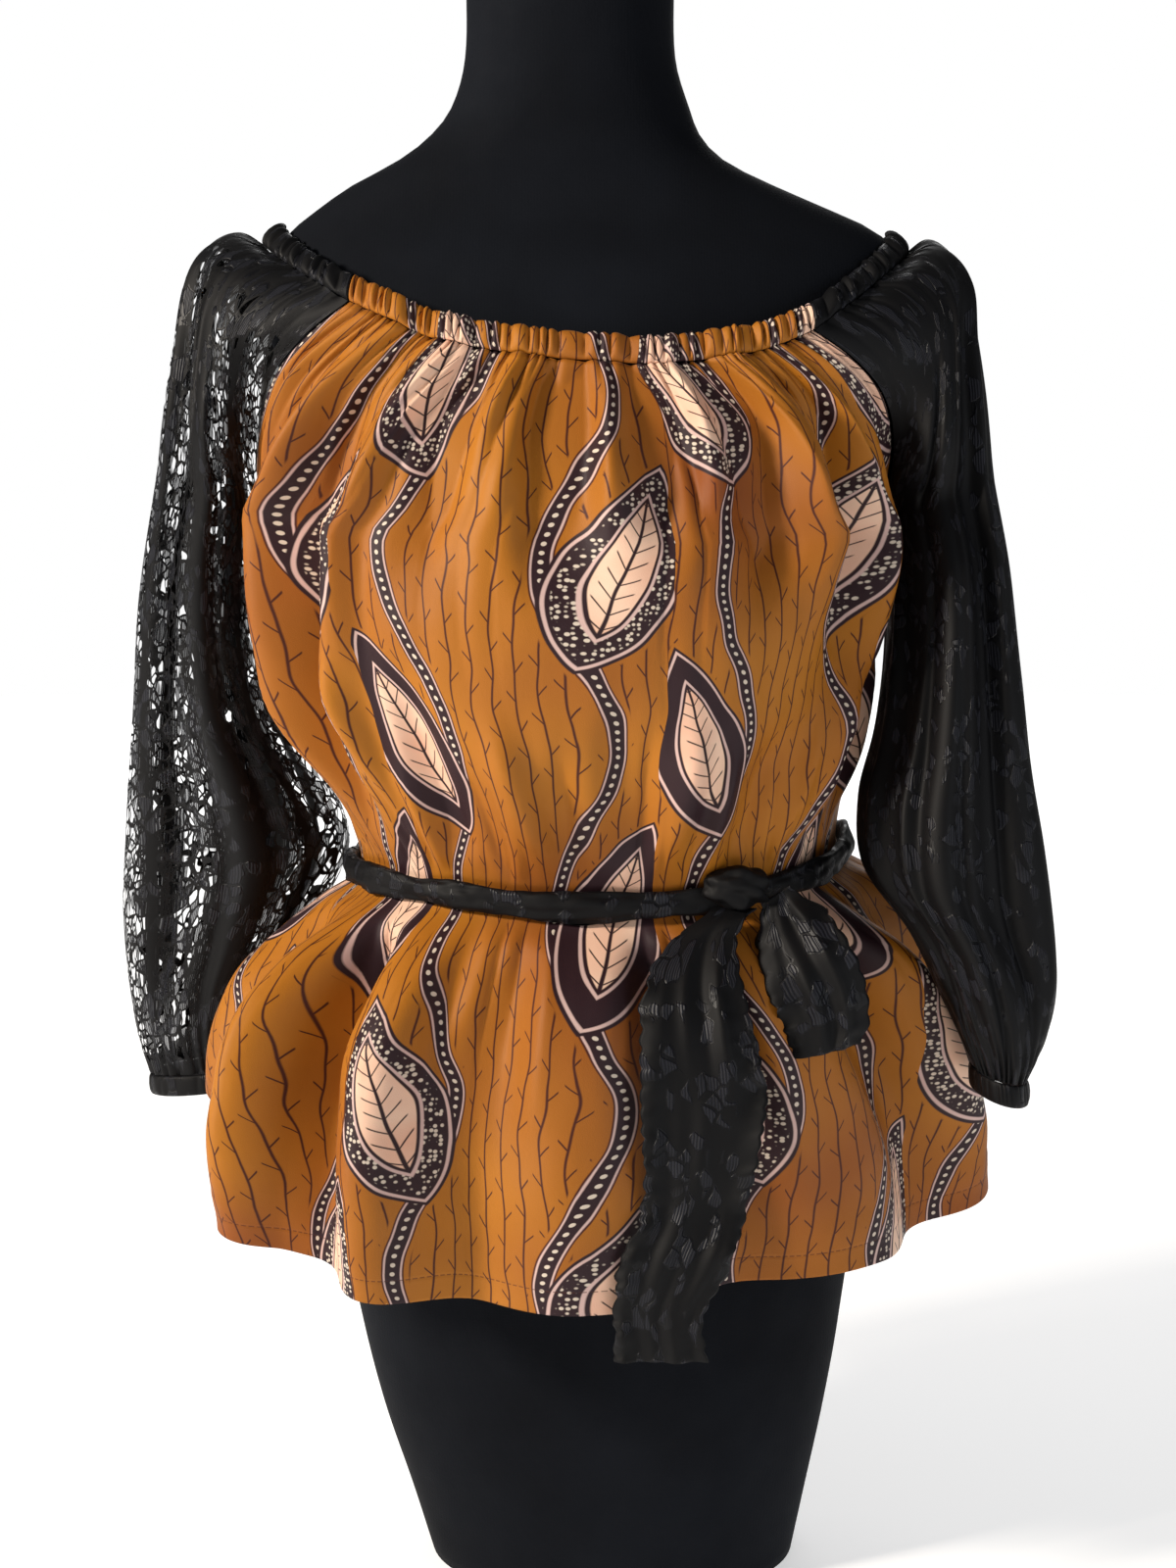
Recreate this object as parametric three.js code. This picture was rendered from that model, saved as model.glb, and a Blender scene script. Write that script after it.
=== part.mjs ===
// Off-shoulder ankara peasant top with lace bishop sleeves and a lace sash, on a limbless dress form.
// Millimetres, +Z up. The front faces -Y, the wearer's left is +X, and the form stands on z = 0.
import * as THREE from 'three';

// ---- driving dimensions ------------------------------------------------------------------
const COTTON = 1.2;          // wall of the printed cotton, raised to what a solid can hold
const LACE = 1.2;            // wall of the lace
const SEAM = 0.3;            // gap between two pieces at a seam
const CASING_HEIGHT = 15;    // elastic casing at the neckline
const CASING_THICK = 3.2;
const CUFF_HEIGHT = 13;      // elastic casing at the wrist
const CUFF_THICK = 3;
const SASH_THICK = 6;        // the sash is rolled where it goes round the waist
const TAIL_THICK = 1.6;      // its ends are folded double and pressed
const FORM_GAP = 0.6;        // least gap between cloth and dress form
const SQUARENESS = 2.3;      // exponent of the body's cross-sections, 2 is an ellipse

// Gathers, 162 in all
const GATHERS = { front: 42, back: 32, sleeveTop: 14, cuff: 14, waistFront: 18, waistBack: 14 };
const GATHER_DEPTH = { neck: 1.7, waist: 1.5, sleeve: 1.6 };

const WAIST = 398;           // height of the sash at the centre front
const TOP = 700;             // level of the panels' top edges
const UNDERARM = 600;

// ---- small helpers -----------------------------------------------------------------------
const V = (x, y, z) => new THREE.Vector3(x, y, z);
const lerp = THREE.MathUtils.lerp;
const clamp = THREE.MathUtils.clamp;
const smooth = THREE.MathUtils.smoothstep;
const signedPower = (v, p) => Math.sign(v) * Math.abs(v) ** p;

// A table is a header of column names and its rows; at(name, key) reads a column between its rows.
function table(header, rows) {
  const names = header.split(' ');
  const keys = rows.map((row) => row[0]);
  const at = (name, key) => {
    const c = names.indexOf(name);
    const k = clamp(key, keys[0], keys[keys.length - 1]);
    let i = keys.findIndex((edge) => edge >= k);
    i = Math.max(1, i);
    const value = (n) => rows[clamp(n, 0, rows.length - 1)][c];
    const place = (n) => keys[clamp(n, 0, keys.length - 1)];
    const slope = (n) => {
      const span = place(n + 1) - place(n - 1);
      return span === 0 ? 0 : (value(n + 1) - value(n - 1)) / span;
    };
    const span = keys[i] - keys[i - 1];
    const t = (k - keys[i - 1]) / span;
    const t2 = t * t;
    const t3 = t2 * t;
    return value(i - 1) * (2 * t3 - 3 * t2 + 1) + slope(i - 1) * span * (t3 - 2 * t2 + t)
      + value(i) * (3 * t2 - 2 * t3) + slope(i) * span * (t3 - t2);
  };
  const records = rows.map((row) => Object.fromEntries(names.map((name, c) => [name, row[c]])));
  return { at, rows, keys, records };
}

// ---- the dress form ----------------------------------------------------------------------
const FORM = table('z half front back shift', [
  [0, 106, 84, 84, 17], [40, 116, 90, 92, 15], [90, 129, 97, 106, 12], [140, 139, 102, 117, 10],
  [200, 147, 106, 123, 8], [270, 142, 103, 110, 6], [340, 126, 95, 92, 5], [398, 119, 91, 85, 5],
  [450, 125, 98, 88, 3], [520, 138, 114, 95, 0], [580, 149, 130, 100, -3], [630, 155, 119, 102, -3],
  [670, 166, 101, 102, 0], [695, 174, 89, 100, 1], [717, 178, 79, 93, 1], [734, 177, 71, 84, 1],
  [747, 171, 63, 76, 1], [757, 162, 56, 70, 0], [768, 143, 52, 66, -5], [781, 118, 50, 63, -11],
  [794, 92, 49, 60, -12], [807, 76, 48, 58, -10], [823, 66, 47, 56, -7], [850, 58, 46, 55, -7],
  [894, 57, 46, 54, -7],
]);
const FORM_TOP = 900;
const FORM_COLUMNS = 26;

function formPoint(angle, z) {
  const depth = Math.cos(angle) > 0 ? FORM.at('front', z) : FORM.at('back', z);
  return V(
    FORM.at('shift', z) + FORM.at('half', z) * signedPower(Math.sin(angle), 2 / SQUARENESS),
    -depth * signedPower(Math.cos(angle), 2 / SQUARENESS),
    z,
  );
}

// Moves a point sideways until it is at least gap away from the form at its height.
function clearOfForm(p, gap) {
  if (p.z > FORM_TOP) return p.clone();
  const shift = FORM.at('shift', p.z);
  const x = p.x - shift;
  const depth = p.y < 0 ? FORM.at('front', p.z) : FORM.at('back', p.z);
  const reach = (Math.abs(x / FORM.at('half', p.z)) ** SQUARENESS
    + Math.abs(p.y / depth) ** SQUARENESS) ** (1 / SQUARENESS);
  const need = 1 + gap * reach / Math.hypot(x, p.y);
  const grow = Math.max(1, need / reach);
  return V(shift + x * grow, p.y * grow, p.z);
}

// ---- the body of the top -----------------------------------------------------------------
// Sections of the cloth, by level. Levels are heights before the hem, waist and neckline are
// curved. Above the underarm the half-widths go on to the shoulders, inside the sleeves.
const BODY = table('level right left front back turn', [
  [160, 210, 244, 158, 152, 0.26], [200, 210, 243, 158, 152, 0.26], [240, 209, 240, 157, 151, 0.25],
  [280, 204, 228, 153, 148, 0.22], [320, 193, 211, 146, 140, 0.17], [350, 172, 193, 136, 128, 0.11],
  [376, 147, 164, 117, 108, 0.05], [389, 129, 145.5, 102.5, 94, 0], [398, 127, 144, 100, 92, 0],
  [407, 127, 144, 102, 93, 0], [424, 132, 145, 114, 98, 0],
  [450, 144, 151, 128, 104, 0], [480, 162, 155, 139, 108, 0], [520, 175, 158, 147, 112, 0],
  [560, 180, 161, 150, 115, 0], [600, 181, 166, 145, 117, 0], [640, 184, 176, 131, 117, 0],
  [670, 187, 184, 116, 114, 0], [700, 190, 190, 103, 107, 0], [715, 190, 190, 98, 103, 0],
]);

// Where the raglan seams cross each level, in degrees round the body from the centre of the panel.
const RAGLAN = table('level frontRight frontLeft backRight backLeft', [
  [600, 90, 90, 90, 90], [615, 80, 80, 81, 81], [640, 70, 70, 71, 71],
  [665, 59, 58.5, 61, 61], [685, 47, 46.5, 50, 50], [700, 37, 36.5, 41, 41],
]);

// How far the hem, the waist and the top edge stand above their levels, from side to side.
const FRONT_EDGES = table('u hem waist top', [
  [-1, 104, 6, 13], [-0.8, 64, 6, 4], [-0.6, 41, 5, -5], [-0.35, 22, 2, -12], [0, 9, -3, -18],
  [0.25, 9, -1, -20], [0.4, 15, 3, -18], [0.6, 17, 8, -15], [0.8, 43, 14, -10], [1, 99, 22, -2],
]);
const BACK_EDGES = table('u hem waist top', [
  [-1, 104, 6, 13], [-0.8, 62, 7, 12], [-0.5, 24, 8, 9], [0, 6, 9, 6], [0.5, 24, 13, 4],
  [0.8, 60, 18, 1], [1, 99, 22, -2],
]);
const HEM_LEVEL = 182;
const EDGE_HALF = 190;       // half-width and depth of the neckline's loop
const EDGE_DEPTH = 100;
const EDGE_LEAN = { middle: 0.36, shoulder: 0.74 };  // how much the casing leans in

// Folds of the cloth. A row gives a fold's place on the panel at its upper and lower end, those
// ends' levels, its half-width and its height in mm, negative where it is a trough.
const FRONT_FOLDS = table('upperU lowerU upper lower width height', [
  [-0.72, -0.66, 690, 420, 10, 9], [-0.58, -0.60, 680, 430, 8, -10], [-0.45, -0.44, 690, 600, 7, 4],
  [-0.03, 0.00, 684, 610, 6, -6], [0.13, 0.12, 682, 630, 5, -5], [0.47, 0.40, 690, 610, 9, -6],
  [0.60, 0.58, 690, 560, 8, 5], [0.74, 0.70, 680, 520, 9, -5], [0.83, 0.66, 600, 440, 10, 6],
  [0.22, 0.16, 480, 404, 6, 4], [0.06, 0.07, 490, 404, 6, 4], [-0.14, -0.08, 480, 404, 6, 4],
  [-0.35, -0.27, 500, 404, 8, -5], [0.42, 0.34, 470, 404, 7, -4],
  [-0.62, -0.60, 392, 190, 15, 15], [-0.47, -0.50, 392, 186, 13, -17], [-0.32, -0.34, 380, 184, 16, 7],
  [-0.10, -0.16, 385, 186, 12, -8], [0.02, 0.00, 385, 184, 14, 8], [0.13, 0.20, 385, 190, 12, -9],
  [0.33, 0.42, 385, 192, 16, 9], [0.48, 0.58, 380, 190, 12, -11], [0.62, 0.72, 385, 192, 15, 12],
  [0.78, 0.86, 380, 200, 14, -9], [-0.83, -0.84, 385, 200, 18, -9],
]);
const BACK_FOLDS = table('upperU lowerU upper lower width height', [
  [-0.70, -0.66, 690, 470, 10, 6], [-0.42, -0.46, 690, 520, 9, -5], [-0.08, -0.12, 690, 560, 8, 5],
  [0.24, 0.22, 690, 540, 9, -5], [0.58, 0.56, 690, 460, 10, 6],
  [-0.60, -0.58, 392, 190, 16, 13], [-0.38, -0.42, 392, 190, 14, -13], [-0.14, -0.18, 392, 186, 16, 10],
  [0.10, 0.12, 392, 186, 14, -12], [0.34, 0.38, 392, 190, 17, 12], [0.62, 0.66, 392, 195, 14, -11],
]);

const SASH_REACH = 8;        // above and below the waist, the sash presses the cloth plain
const HALF_SPREAD = 190;     // half a panel's width in mm where u goes from 0 to 1, about

function foldHeight(folds, u, level) {
  let sum = 0;
  for (const fold of folds.records) {
    const along = (fold.upper - level) / (fold.upper - fold.lower);
    if (along < -0.15 || along > 1.1) continue;
    const centre = lerp(fold.upperU, fold.lowerU, along);
    const hem = fold.lower < HEM_LEVEL + 25;
    const fade = smooth(along, -0.15, 0.3) * (hem ? 1 : 1 - smooth(along, 0.55, 1.1));
    const spread = hem ? lerp(0.6, 1.3, clamp(along, 0, 1)) : 1;
    const across = (u - centre) * HALF_SPREAD / (fold.width * spread);
    sum += fold.height * fade * Math.exp(-across * across / 2);
  }
  return sum * smooth(Math.abs(level - WAIST), SASH_REACH, 40);
}

// Small gathers run down from the casing and fade, each at its own length; others start at the sash.
function gatherHeight(side, u, level) {
  const count = GATHERS[side];
  const waistCount = side === 'front' ? GATHERS.waistFront : GATHERS.waistBack;
  const phase = (u + 1) / 2 * count;
  const length = 34 + 16 * Math.sin(Math.floor(phase) * 2.4) + 9 * Math.sin(Math.floor(phase) * 5.1);
  const top = GATHER_DEPTH.neck * Math.exp(-(((TOP - level) / length) ** 2)) * Math.cos(phase * 2 * Math.PI);
  const waistPhase = (u + 1) / 2 * waistCount;
  const reach = level > WAIST ? 26 : 34;
  const waist = GATHER_DEPTH.waist * Math.exp(-(((level - WAIST) / reach) ** 2))
    * Math.cos(waistPhase * 2 * Math.PI);
  return top + waist * smooth(Math.abs(level - WAIST), SASH_REACH, 22);
}

// How far a point of a panel stands above its level.
function edgeRise(side, u, level) {
  const edges = side === 'front' ? FRONT_EDGES : BACK_EDGES;
  const waist = edges.at('waist', u);
  if (level > WAIST) return lerp(waist, edges.at('top', u), (level - WAIST) / (TOP - WAIST));
  return lerp(waist, edges.at('hem', u), ((WAIST - level) / (WAIST - HEM_LEVEL)) ** 1.4);
}

// The way a casing stands on an edge point: up the slope of the form, and out from the form.
function edgeFrame(p) {
  const round = V(p.x / EDGE_HALF ** 2, p.y / EDGE_DEPTH ** 2, 0).normalize();
  const lean = lerp(EDGE_LEAN.middle, EDGE_LEAN.shoulder, smooth(Math.abs(p.x), 100, 160));
  const rise = Math.sqrt(1 - lean * lean);
  return {
    up: round.clone().multiplyScalar(-lean).setZ(rise),
    out: round.clone().multiplyScalar(rise).setZ(lean),
  };
}

function bodyPoint(side, u, level, gathers = 1) {
  const front = side === 'front';
  const wearer = u < 0 ? 'Right' : 'Left';
  const half = BODY.at(wearer.toLowerCase(), level);
  const depth = BODY.at(side, level);
  const facing = front ? -1 : 1;
  const widest = level > UNDERARM ? RAGLAN.at(side + wearer, level) : 90;
  const angle = Math.abs(u) * THREE.MathUtils.degToRad(widest);
  const x = Math.sign(u) * half * Math.sin(angle) ** (2 / SQUARENESS);
  const y = facing * depth * Math.max(0, Math.cos(angle)) ** (2 / SQUARENESS);
  const out = V(Math.sin(angle) * Math.sign(u) / half, facing * Math.cos(angle) / depth, 0).normalize();
  const toSeam = smooth(1 - Math.abs(u), 0, 0.07);
  const height = foldHeight(front ? FRONT_FOLDS : BACK_FOLDS, u, level)
    + gathers * gatherHeight(side, u, level);
  const p = V(x, y + BODY.at('turn', level) * x, level + edgeRise(side, u, level));
  const clear = clearOfForm(p.clone().addScaledVector(out, height * toSeam), FORM_GAP + COTTON + 2);
  if (level < TOP) return Object.assign(clear, { out });
  const edge = edgeFrame(p);
  return Object.assign(p.addScaledVector(edge.out, height * toSeam), edge);
}

// ---- surfaces and walls ------------------------------------------------------------------
// Joins rows of points into triangles. Two rows may have different numbers of points. With
// holes(i, j) a cell between rows of equal length is a frame round a four-cornered hole.
function surface(rows, { wrap = false, holes = null } = {}) {
  const points = [];
  const start = rows.map((row) => {
    const first = points.length;
    points.push(...row);
    return first;
  });
  const faces = [];
  for (let i = 0; i + 1 < rows.length; i++) {
    const low = rows[i].length;
    const high = rows[i + 1].length;
    const a = (j) => start[i] + (j % low);
    const b = (j) => start[i + 1] + (j % high);
    const lowEnd = wrap ? low : low - 1;
    const highEnd = wrap ? high : high - 1;
    if (low === high) {
      for (let j = 0; j < lowEnd; j++) {
        const corners = [a(j), a(j + 1), b(j + 1), b(j)];
        const hole = holes && holes(i, j);
        if (hole) {
          frame(points, faces, corners, hole);
        } else if ((i + j) % 2) {
          faces.push([corners[0], corners[1], corners[2]], [corners[0], corners[2], corners[3]]);
        } else {
          faces.push([corners[0], corners[1], corners[3]], [corners[1], corners[2], corners[3]]);
        }
      }
      continue;
    }
    let j = 0;
    let k = 0;
    while (j < lowEnd || k < highEnd) {
      if (k === highEnd || (j < lowEnd && (j + 1) / lowEnd <= (k + 1) / highEnd)) {
        faces.push([a(j), a(j + 1), b(k)]);
        j += 1;
      } else {
        faces.push([a(j), b(k + 1), b(k)]);
        k += 1;
      }
    }
  }
  return { points, faces };
}

function frame(points, faces, corners, hole) {
  const [p, q, r, s] = corners.map((n) => points[n]);
  const first = points.length;
  for (const [across, up] of hole) {
    const low = p.clone().lerp(q, across);
    const high = s.clone().lerp(r, across);
    points.push(low.lerp(high, up));
  }
  for (let n = 0; n < 4; n++) {
    const m = (n + 1) % 4;
    faces.push([corners[n], corners[m], first + m], [corners[n], first + m, first + n]);
  }
}

// Gives a surface its wall: the inner side lies wall below the outer one along the normals, or
// along a point's own inward direction where two pieces share a seam.
function thicken({ points, faces }, wall) {
  const normals = points.map(() => V(0, 0, 0));
  for (const [a, b, c] of faces) {
    const normal = points[b].clone().sub(points[a]).cross(points[c].clone().sub(points[a]));
    for (const n of [a, b, c]) normals[n].add(normal);
  }
  const count = points.length;
  const inner = points.map((p, n) => (p.inward
    ? p.clone().addScaledVector(p.inward, wall)
    : p.clone().addScaledVector(normals[n].normalize(), -wall)));
  const edges = new Map();
  for (const [a, b, c] of faces) {
    for (const [m, n] of [[a, b], [b, c], [c, a]]) {
      if (edges.has(`${n}_${m}`)) edges.delete(`${n}_${m}`);
      else edges.set(`${m}_${n}`, [m, n]);
    }
  }
  const closed = [];
  for (const [a, b, c] of faces) closed.push([a, b, c], [count + a, count + c, count + b]);
  for (const [m, n] of edges.values()) {
    closed.push([n, m, count + m], [n, count + m, count + n]);
  }
  return meshOf([...points, ...inner], closed);
}

function meshOf(points, faces) {
  const positions = [];
  for (const face of faces) {
    for (const n of face) positions.push(points[n].x, points[n].y, points[n].z);
  }
  const geometry = new THREE.BufferGeometry();
  geometry.setAttribute('position', new THREE.Float32BufferAttribute(positions, 3));
  geometry.computeVertexNormals();
  return geometry;
}

// A closed bar through sections of equal length; its ends are capped, or it runs into itself.
function bar(sections, { ring = false } = {}) {
  const size = sections[0].length;
  const points = sections.flat();
  const faces = [];
  const links = ring ? sections.length : sections.length - 1;
  for (let i = 0; i < links; i++) {
    const next = (i + 1) % sections.length;
    for (let j = 0; j < size; j++) {
      const k = (j + 1) % size;
      const [a, b, c, d] = [i * size + j, i * size + k, next * size + k, next * size + j];
      faces.push([a, c, b], [a, d, c]);
    }
  }
  if (!ring) {
    const last = (sections.length - 1) * size;
    for (let j = 1; j + 1 < size; j++) {
      faces.push([0, j, j + 1], [last, last + j + 1, last + j]);
    }
  }
  return meshOf(points, faces);
}

const range = (count) => Array.from({ length: count }, (_, n) => n);
const steps = (from, to, count) => range(count + 1).map((n) => lerp(from, to, n / count));

// ---- materials ---------------------------------------------------------------------------
const finish = (name, color, roughness) => {
  const material = new THREE.MeshStandardMaterial({ color, roughness, metalness: 0 });
  material.name = name;
  return material;
};
const jersey = finish('form_jersey', 0x14161c, 0.85);
const print = finish('ankara_cotton', 0xb8741e, 0.75);
const lace = finish('black_lace', 0x0b0b10, 0.6);

const top = new THREE.Group();
top.name = 'ankara_top_on_dress_form';

function add(name, geometry, material) {
  const mesh = new THREE.Mesh(geometry, material);
  mesh.name = name;
  top.add(mesh);
}

// ---- pieces ------------------------------------------------------------------------------
function dressForm() {
  const rings = FORM.keys.map((z) => range(FORM_COLUMNS)
    .map((n) => formPoint(n / FORM_COLUMNS * 2 * Math.PI, z)));
  const { points, faces } = surface(rings, { wrap: true });
  const crown = points.push(V(FORM.at('shift', FORM_TOP), 4, FORM_TOP)) - 1;
  const base = points.push(V(FORM.at('shift', 0), 0, 0)) - 1;
  const lastRing = (rings.length - 1) * FORM_COLUMNS;
  for (const n of range(FORM_COLUMNS)) {
    const m = (n + 1) % FORM_COLUMNS;
    faces.push([lastRing + n, lastRing + m, crown], [m, n, base]);
  }
  return meshOf(points, faces);
}

const LEVELS = {
  coarse: [182, 210, 240, 275, 310, 345, 372, 388, 398, 408, 430, 470, 515, 560, 600, 620, 638],
  fine: [655, 672, 688, 700],
};
const COLUMNS = { front: 36, back: 28 };

function panel(side) {
  const facing = side === 'front' ? -1 : 1;
  const row = (level, columns) => steps(-1, 1, columns).map((u) => {
    const p = bodyPoint(side, u, level);
    if (Math.abs(u) > 0.999 || level === TOP) p.inward = p.out.clone().negate();
    p.y += facing * SEAM / 2;
    return p;
  });
  const sheet = surface([
    ...LEVELS.coarse.map((level) => row(level, COLUMNS[side])),
    ...LEVELS.fine.map((level) => row(level, 2 * GATHERS[side])),
  ]);
  if (side === 'back') sheet.faces = sheet.faces.map(([a, b, c]) => [a, c, b]);
  return thicken(sheet, COTTON);
}

// ---- sleeves -----------------------------------------------------------------------------
// Sections of a sleeve from its top edge to its cuff. The outer line runs over the shoulder and
// down the arm. The inner line is the raglan seam at the given level down to the underarm, and
// the underarm seam below that. Depth is how far the section swells to the front and the back,
// bulge how far a section of the cap swells outwards.
const SLEEVES = {
  Right: table('row outerX outerY outerZ level innerX innerY innerZ depth bulge', [
    [0, 177, 0, 750, 700, 182, 0, 602, 30, 6], [1, 190, 2, 757, 688, 182, 0, 602, 42, 8],
    [2, 203, 4, 752, 672, 182, 0, 602, 54, 8], [3, 212, 6, 736, 655, 182, 0, 602, 62, 7],
    [4, 218, 9, 708, 638, 182, 0, 602, 66, 5], [5, 226, 13, 674, 620, 182, 0, 602, 66, 2],
    [6, 235, 19, 632, 600, 182, 0, 602, 62, 0], [7, 245, 29, 585, 600, 186, 14, 570, 61, 0],
    [8, 253, 39, 536, 600, 184, 25, 528, 60, 0], [9, 260, 48, 482, 600, 174, 37, 485, 58, 0],
    [10, 267, 57, 430, 600, 151, 48, 447, 54, 0], [11, 273, 64, 382, 600, 139, 58, 406, 47, 0],
    [12, 273, 68, 342, 600, 160, 70, 360, 41, 0], [13, 271, 70, 310, 600, 180, 72, 326, 37, 0],
    [14, 268, 71, 284, 600, 189, 72, 297, 33, 0], [15, 263, 72, 263, 600, 192, 72, 271, 23, 0],
  ]),
  Left: table('row outerX outerY outerZ level innerX innerY innerZ depth bulge', [
    [0, 180, 0, 746, 700, 167, 0, 602, 30, 6], [1, 191, 0, 753, 688, 167, 0, 602, 42, 8],
    [2, 200, -1, 747, 672, 167, 0, 602, 52, 8], [3, 207, -3, 731, 655, 167, 0, 602, 58, 7],
    [4, 210, -6, 704, 638, 167, 0, 602, 60, 5], [5, 216, -12, 664, 620, 167, 0, 602, 58, 2],
    [6, 223, -20, 620, 600, 167, 0, 602, 52, 0], [7, 230, -34, 571, 600, 171, -16, 570, 52, 0],
    [8, 235, -47, 519, 600, 168, -31, 529, 51, 0], [9, 240, -59, 470, 600, 160, -46, 484, 49, 0],
    [10, 247, -69, 424, 600, 150, -60, 449, 46, 0], [11, 251, -77, 386, 600, 152, -70, 412, 42, 0],
    [12, 253, -82, 352, 600, 176, -78, 378, 39, 0], [13, 251, -85, 327, 600, 192, -82, 346, 37, 0],
    [14, 246, -86, 311, 600, 203, -85, 323, 35, 0], [15, 240, -86, 299, 600, 211, -86, 305, 31, 0],
  ]),
};
const SLEEVE_OFF = { out: 3 * SEAM, side: 2 * SEAM };  // keeps the sleeve off the panels' edges
const UNDERARM_ROW = 6;
const CUFF_ROW = 15;
const CAP_SHARE = 0.62;      // share of the half circle that a section of the cap covers at the top

// Long soft folds of a sleeve: place round the half section, first and last row, width, height.
const SLEEVE_FOLDS = [
  [0.16, 2, 14, 0.07, 5], [0.36, 3, 13, 0.08, -6], [0.55, 5, 14, 0.07, 5], [0.78, 7, 14, 0.08, -5],
].map(([place, from, to, width, height]) => ({ place, from, to, width, height }));

function sleevePoint(wearer, face, row, place, gathers = 1) {
  const sections = SLEEVES[wearer];
  const x = wearer === 'Right' ? -1 : 1;
  const facing = face === 'front' ? -1 : 1;
  const at = (name) => sections.at(name, row);
  const outer = V(x * at('outerX'), at('outerY') + facing * SEAM / 2, at('outerZ'));
  const above = sections.at('outerX', row - 0.05);
  const fall = V(x * (sections.at('outerX', row + 0.05) - above), 0,
    sections.at('outerZ', row + 0.05) - sections.at('outerZ', row - 0.05)).normalize();
  const outerInward = V(x * fall.z, 0, -x * fall.x);
  const cap = row < UNDERARM_ROW;
  let inner;
  if (cap) {
    inner = bodyPoint(face, x, at('level'));
    inner.addScaledVector(inner.out, SLEEVE_OFF.out);
    inner.x += x * SLEEVE_OFF.side;
  } else {
    inner = V(x * (at('innerX') + SLEEVE_OFF.side), at('innerY') + facing * SEAM / 2, at('innerZ'));
  }
  const share = cap ? lerp(CAP_SHARE, 1, (row / UNDERARM_ROW) ** 2) : 1;
  const end = share * Math.PI;
  const angle = place * end;
  const across = (1 - Math.cos(angle)) / (1 - Math.cos(end));
  const swell = Math.sin(angle) - Math.sin(end) * across;
  const p = outer.clone().lerp(inner, across)
    .add(V(x * at('bulge') * swell, facing * at('depth') * swell, 0));
  const middle = outer.clone().lerp(inner, 0.5);
  const out = p.clone().sub(middle).setZ(0).normalize();
  let height = 0;
  for (const fold of SLEEVE_FOLDS) {
    const along = (row - fold.from) / (fold.to - fold.from);
    const fade = smooth(along, -0.1, 0.25) * (1 - smooth(along, 0.75, 1.05));
    height += fold.height * fade * Math.exp(-(((place - fold.place) / fold.width) ** 2) / 2);
  }
  const gather = GATHER_DEPTH.sleeve * Math.cos(place * GATHERS.sleeveTop * Math.PI)
    * Math.exp(-((row / 1.3) ** 2));
  const atSeam = smooth(Math.min(place, 1 - place), 0, 0.1);
  if (row === 0) {
    const edge = edgeFrame(p);
    p.addScaledVector(edge.out, gathers * gather * atSeam);
    return Object.assign(p, edge, { inward: edge.out.clone().negate() });
  }
  const clear = clearOfForm(
    p.addScaledVector(out, (height + gathers * gather) * atSeam), FORM_GAP + LACE + 1.4);
  if (place < 0.001) clear.inward = outerInward;
  if (place > 0.999 && !cap) clear.inward = V(x, 0, 0);
  return clear;
}

// Leaf-shaped gaps between the flowers of the lace, leaning left and right by turns.
const LEAF_GAPS = [
  [[0.30, 0.20], [0.66, 0.30], [0.72, 0.80], [0.36, 0.68]],
  [[0.34, 0.32], [0.70, 0.20], [0.64, 0.70], [0.28, 0.80]],
];
const SLEEVE_ROWS = [0, 1, 2, 3, 4, 5, 6, 6.7, 7.5, 8.3, 9.1, 9.9, 10.7, 11.5, 12.4, 13.6, 15];
const SLEEVE_COLUMNS = 8;

function sleeve(wearer, face) {
  const rows = SLEEVE_ROWS.map((row) => steps(0, 1, row < 2 ? GATHERS.sleeveTop : SLEEVE_COLUMNS)
    .map((place) => sleevePoint(wearer, face, row, place)));
  const holes = (i, j) => {
    const gap = i > 3 && i < SLEEVE_ROWS.length - 2 && j > 0 && j < SLEEVE_COLUMNS - 1;
    return gap && i % 2 === 0 && j % 2 ? LEAF_GAPS[Math.floor(i / 2) % 2] : null;
  };
  const sheet = surface(rows, { holes });
  if ((wearer === 'Left') === (face === 'front')) return thicken(sheet, LACE);
  sheet.faces = sheet.faces.map(([a, b, c]) => [a, c, b]);
  return thicken(sheet, LACE);
}

// ---- elastic casings ---------------------------------------------------------------------
// A casing's section stands on the edge of the cloth below it, leans in up the form's slope, and
// puffs in and out with the gathers.
function casingSection(p, puff) {
  const at = (height, away) => p.clone().addScaledVector(p.up, height).addScaledVector(p.out, away);
  const low = 1.5 * SEAM;
  const high = low + CASING_HEIGHT + 0.8 * puff;
  const corners = [
    at(low, -CASING_THICK / 2),
    at(low, CASING_THICK / 2 + 0.6 * puff),
    at(high, CASING_THICK / 2 + 0.9 * puff),
    at(high, -CASING_THICK / 2),
  ];
  for (const [inner, outer] of [[0, 1], [3, 2]]) {
    const shift = clearOfForm(corners[inner], FORM_GAP + 0.2).sub(corners[inner]);
    corners[inner].add(shift);
    corners[outer].add(shift);
  }
  return corners;
}

function panelCasing(side) {
  const count = 2 * GATHERS[side];
  const sections = steps(-1, 1, count).map((u, n) => {
    const p = bodyPoint(side, u, TOP, 0);
    return casingSection(p, n % 2 ? -1 : 1);
  });
  return bar(side === 'front' ? sections : sections.reverse());
}

function sleeveCasing(wearer) {
  const front = steps(1, 0, GATHERS.sleeveTop).map((place) => sleevePoint(wearer, 'front', 0, place, 0));
  const back = steps(0, 1, GATHERS.sleeveTop).map((place) => sleevePoint(wearer, 'back', 0, place, 0));
  const sections = [...front, ...back.slice(1)].map((p, n) => casingSection(p, n % 2 ? -1 : 1));
  return bar(wearer === 'Left' ? sections : sections.reverse());
}

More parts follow.
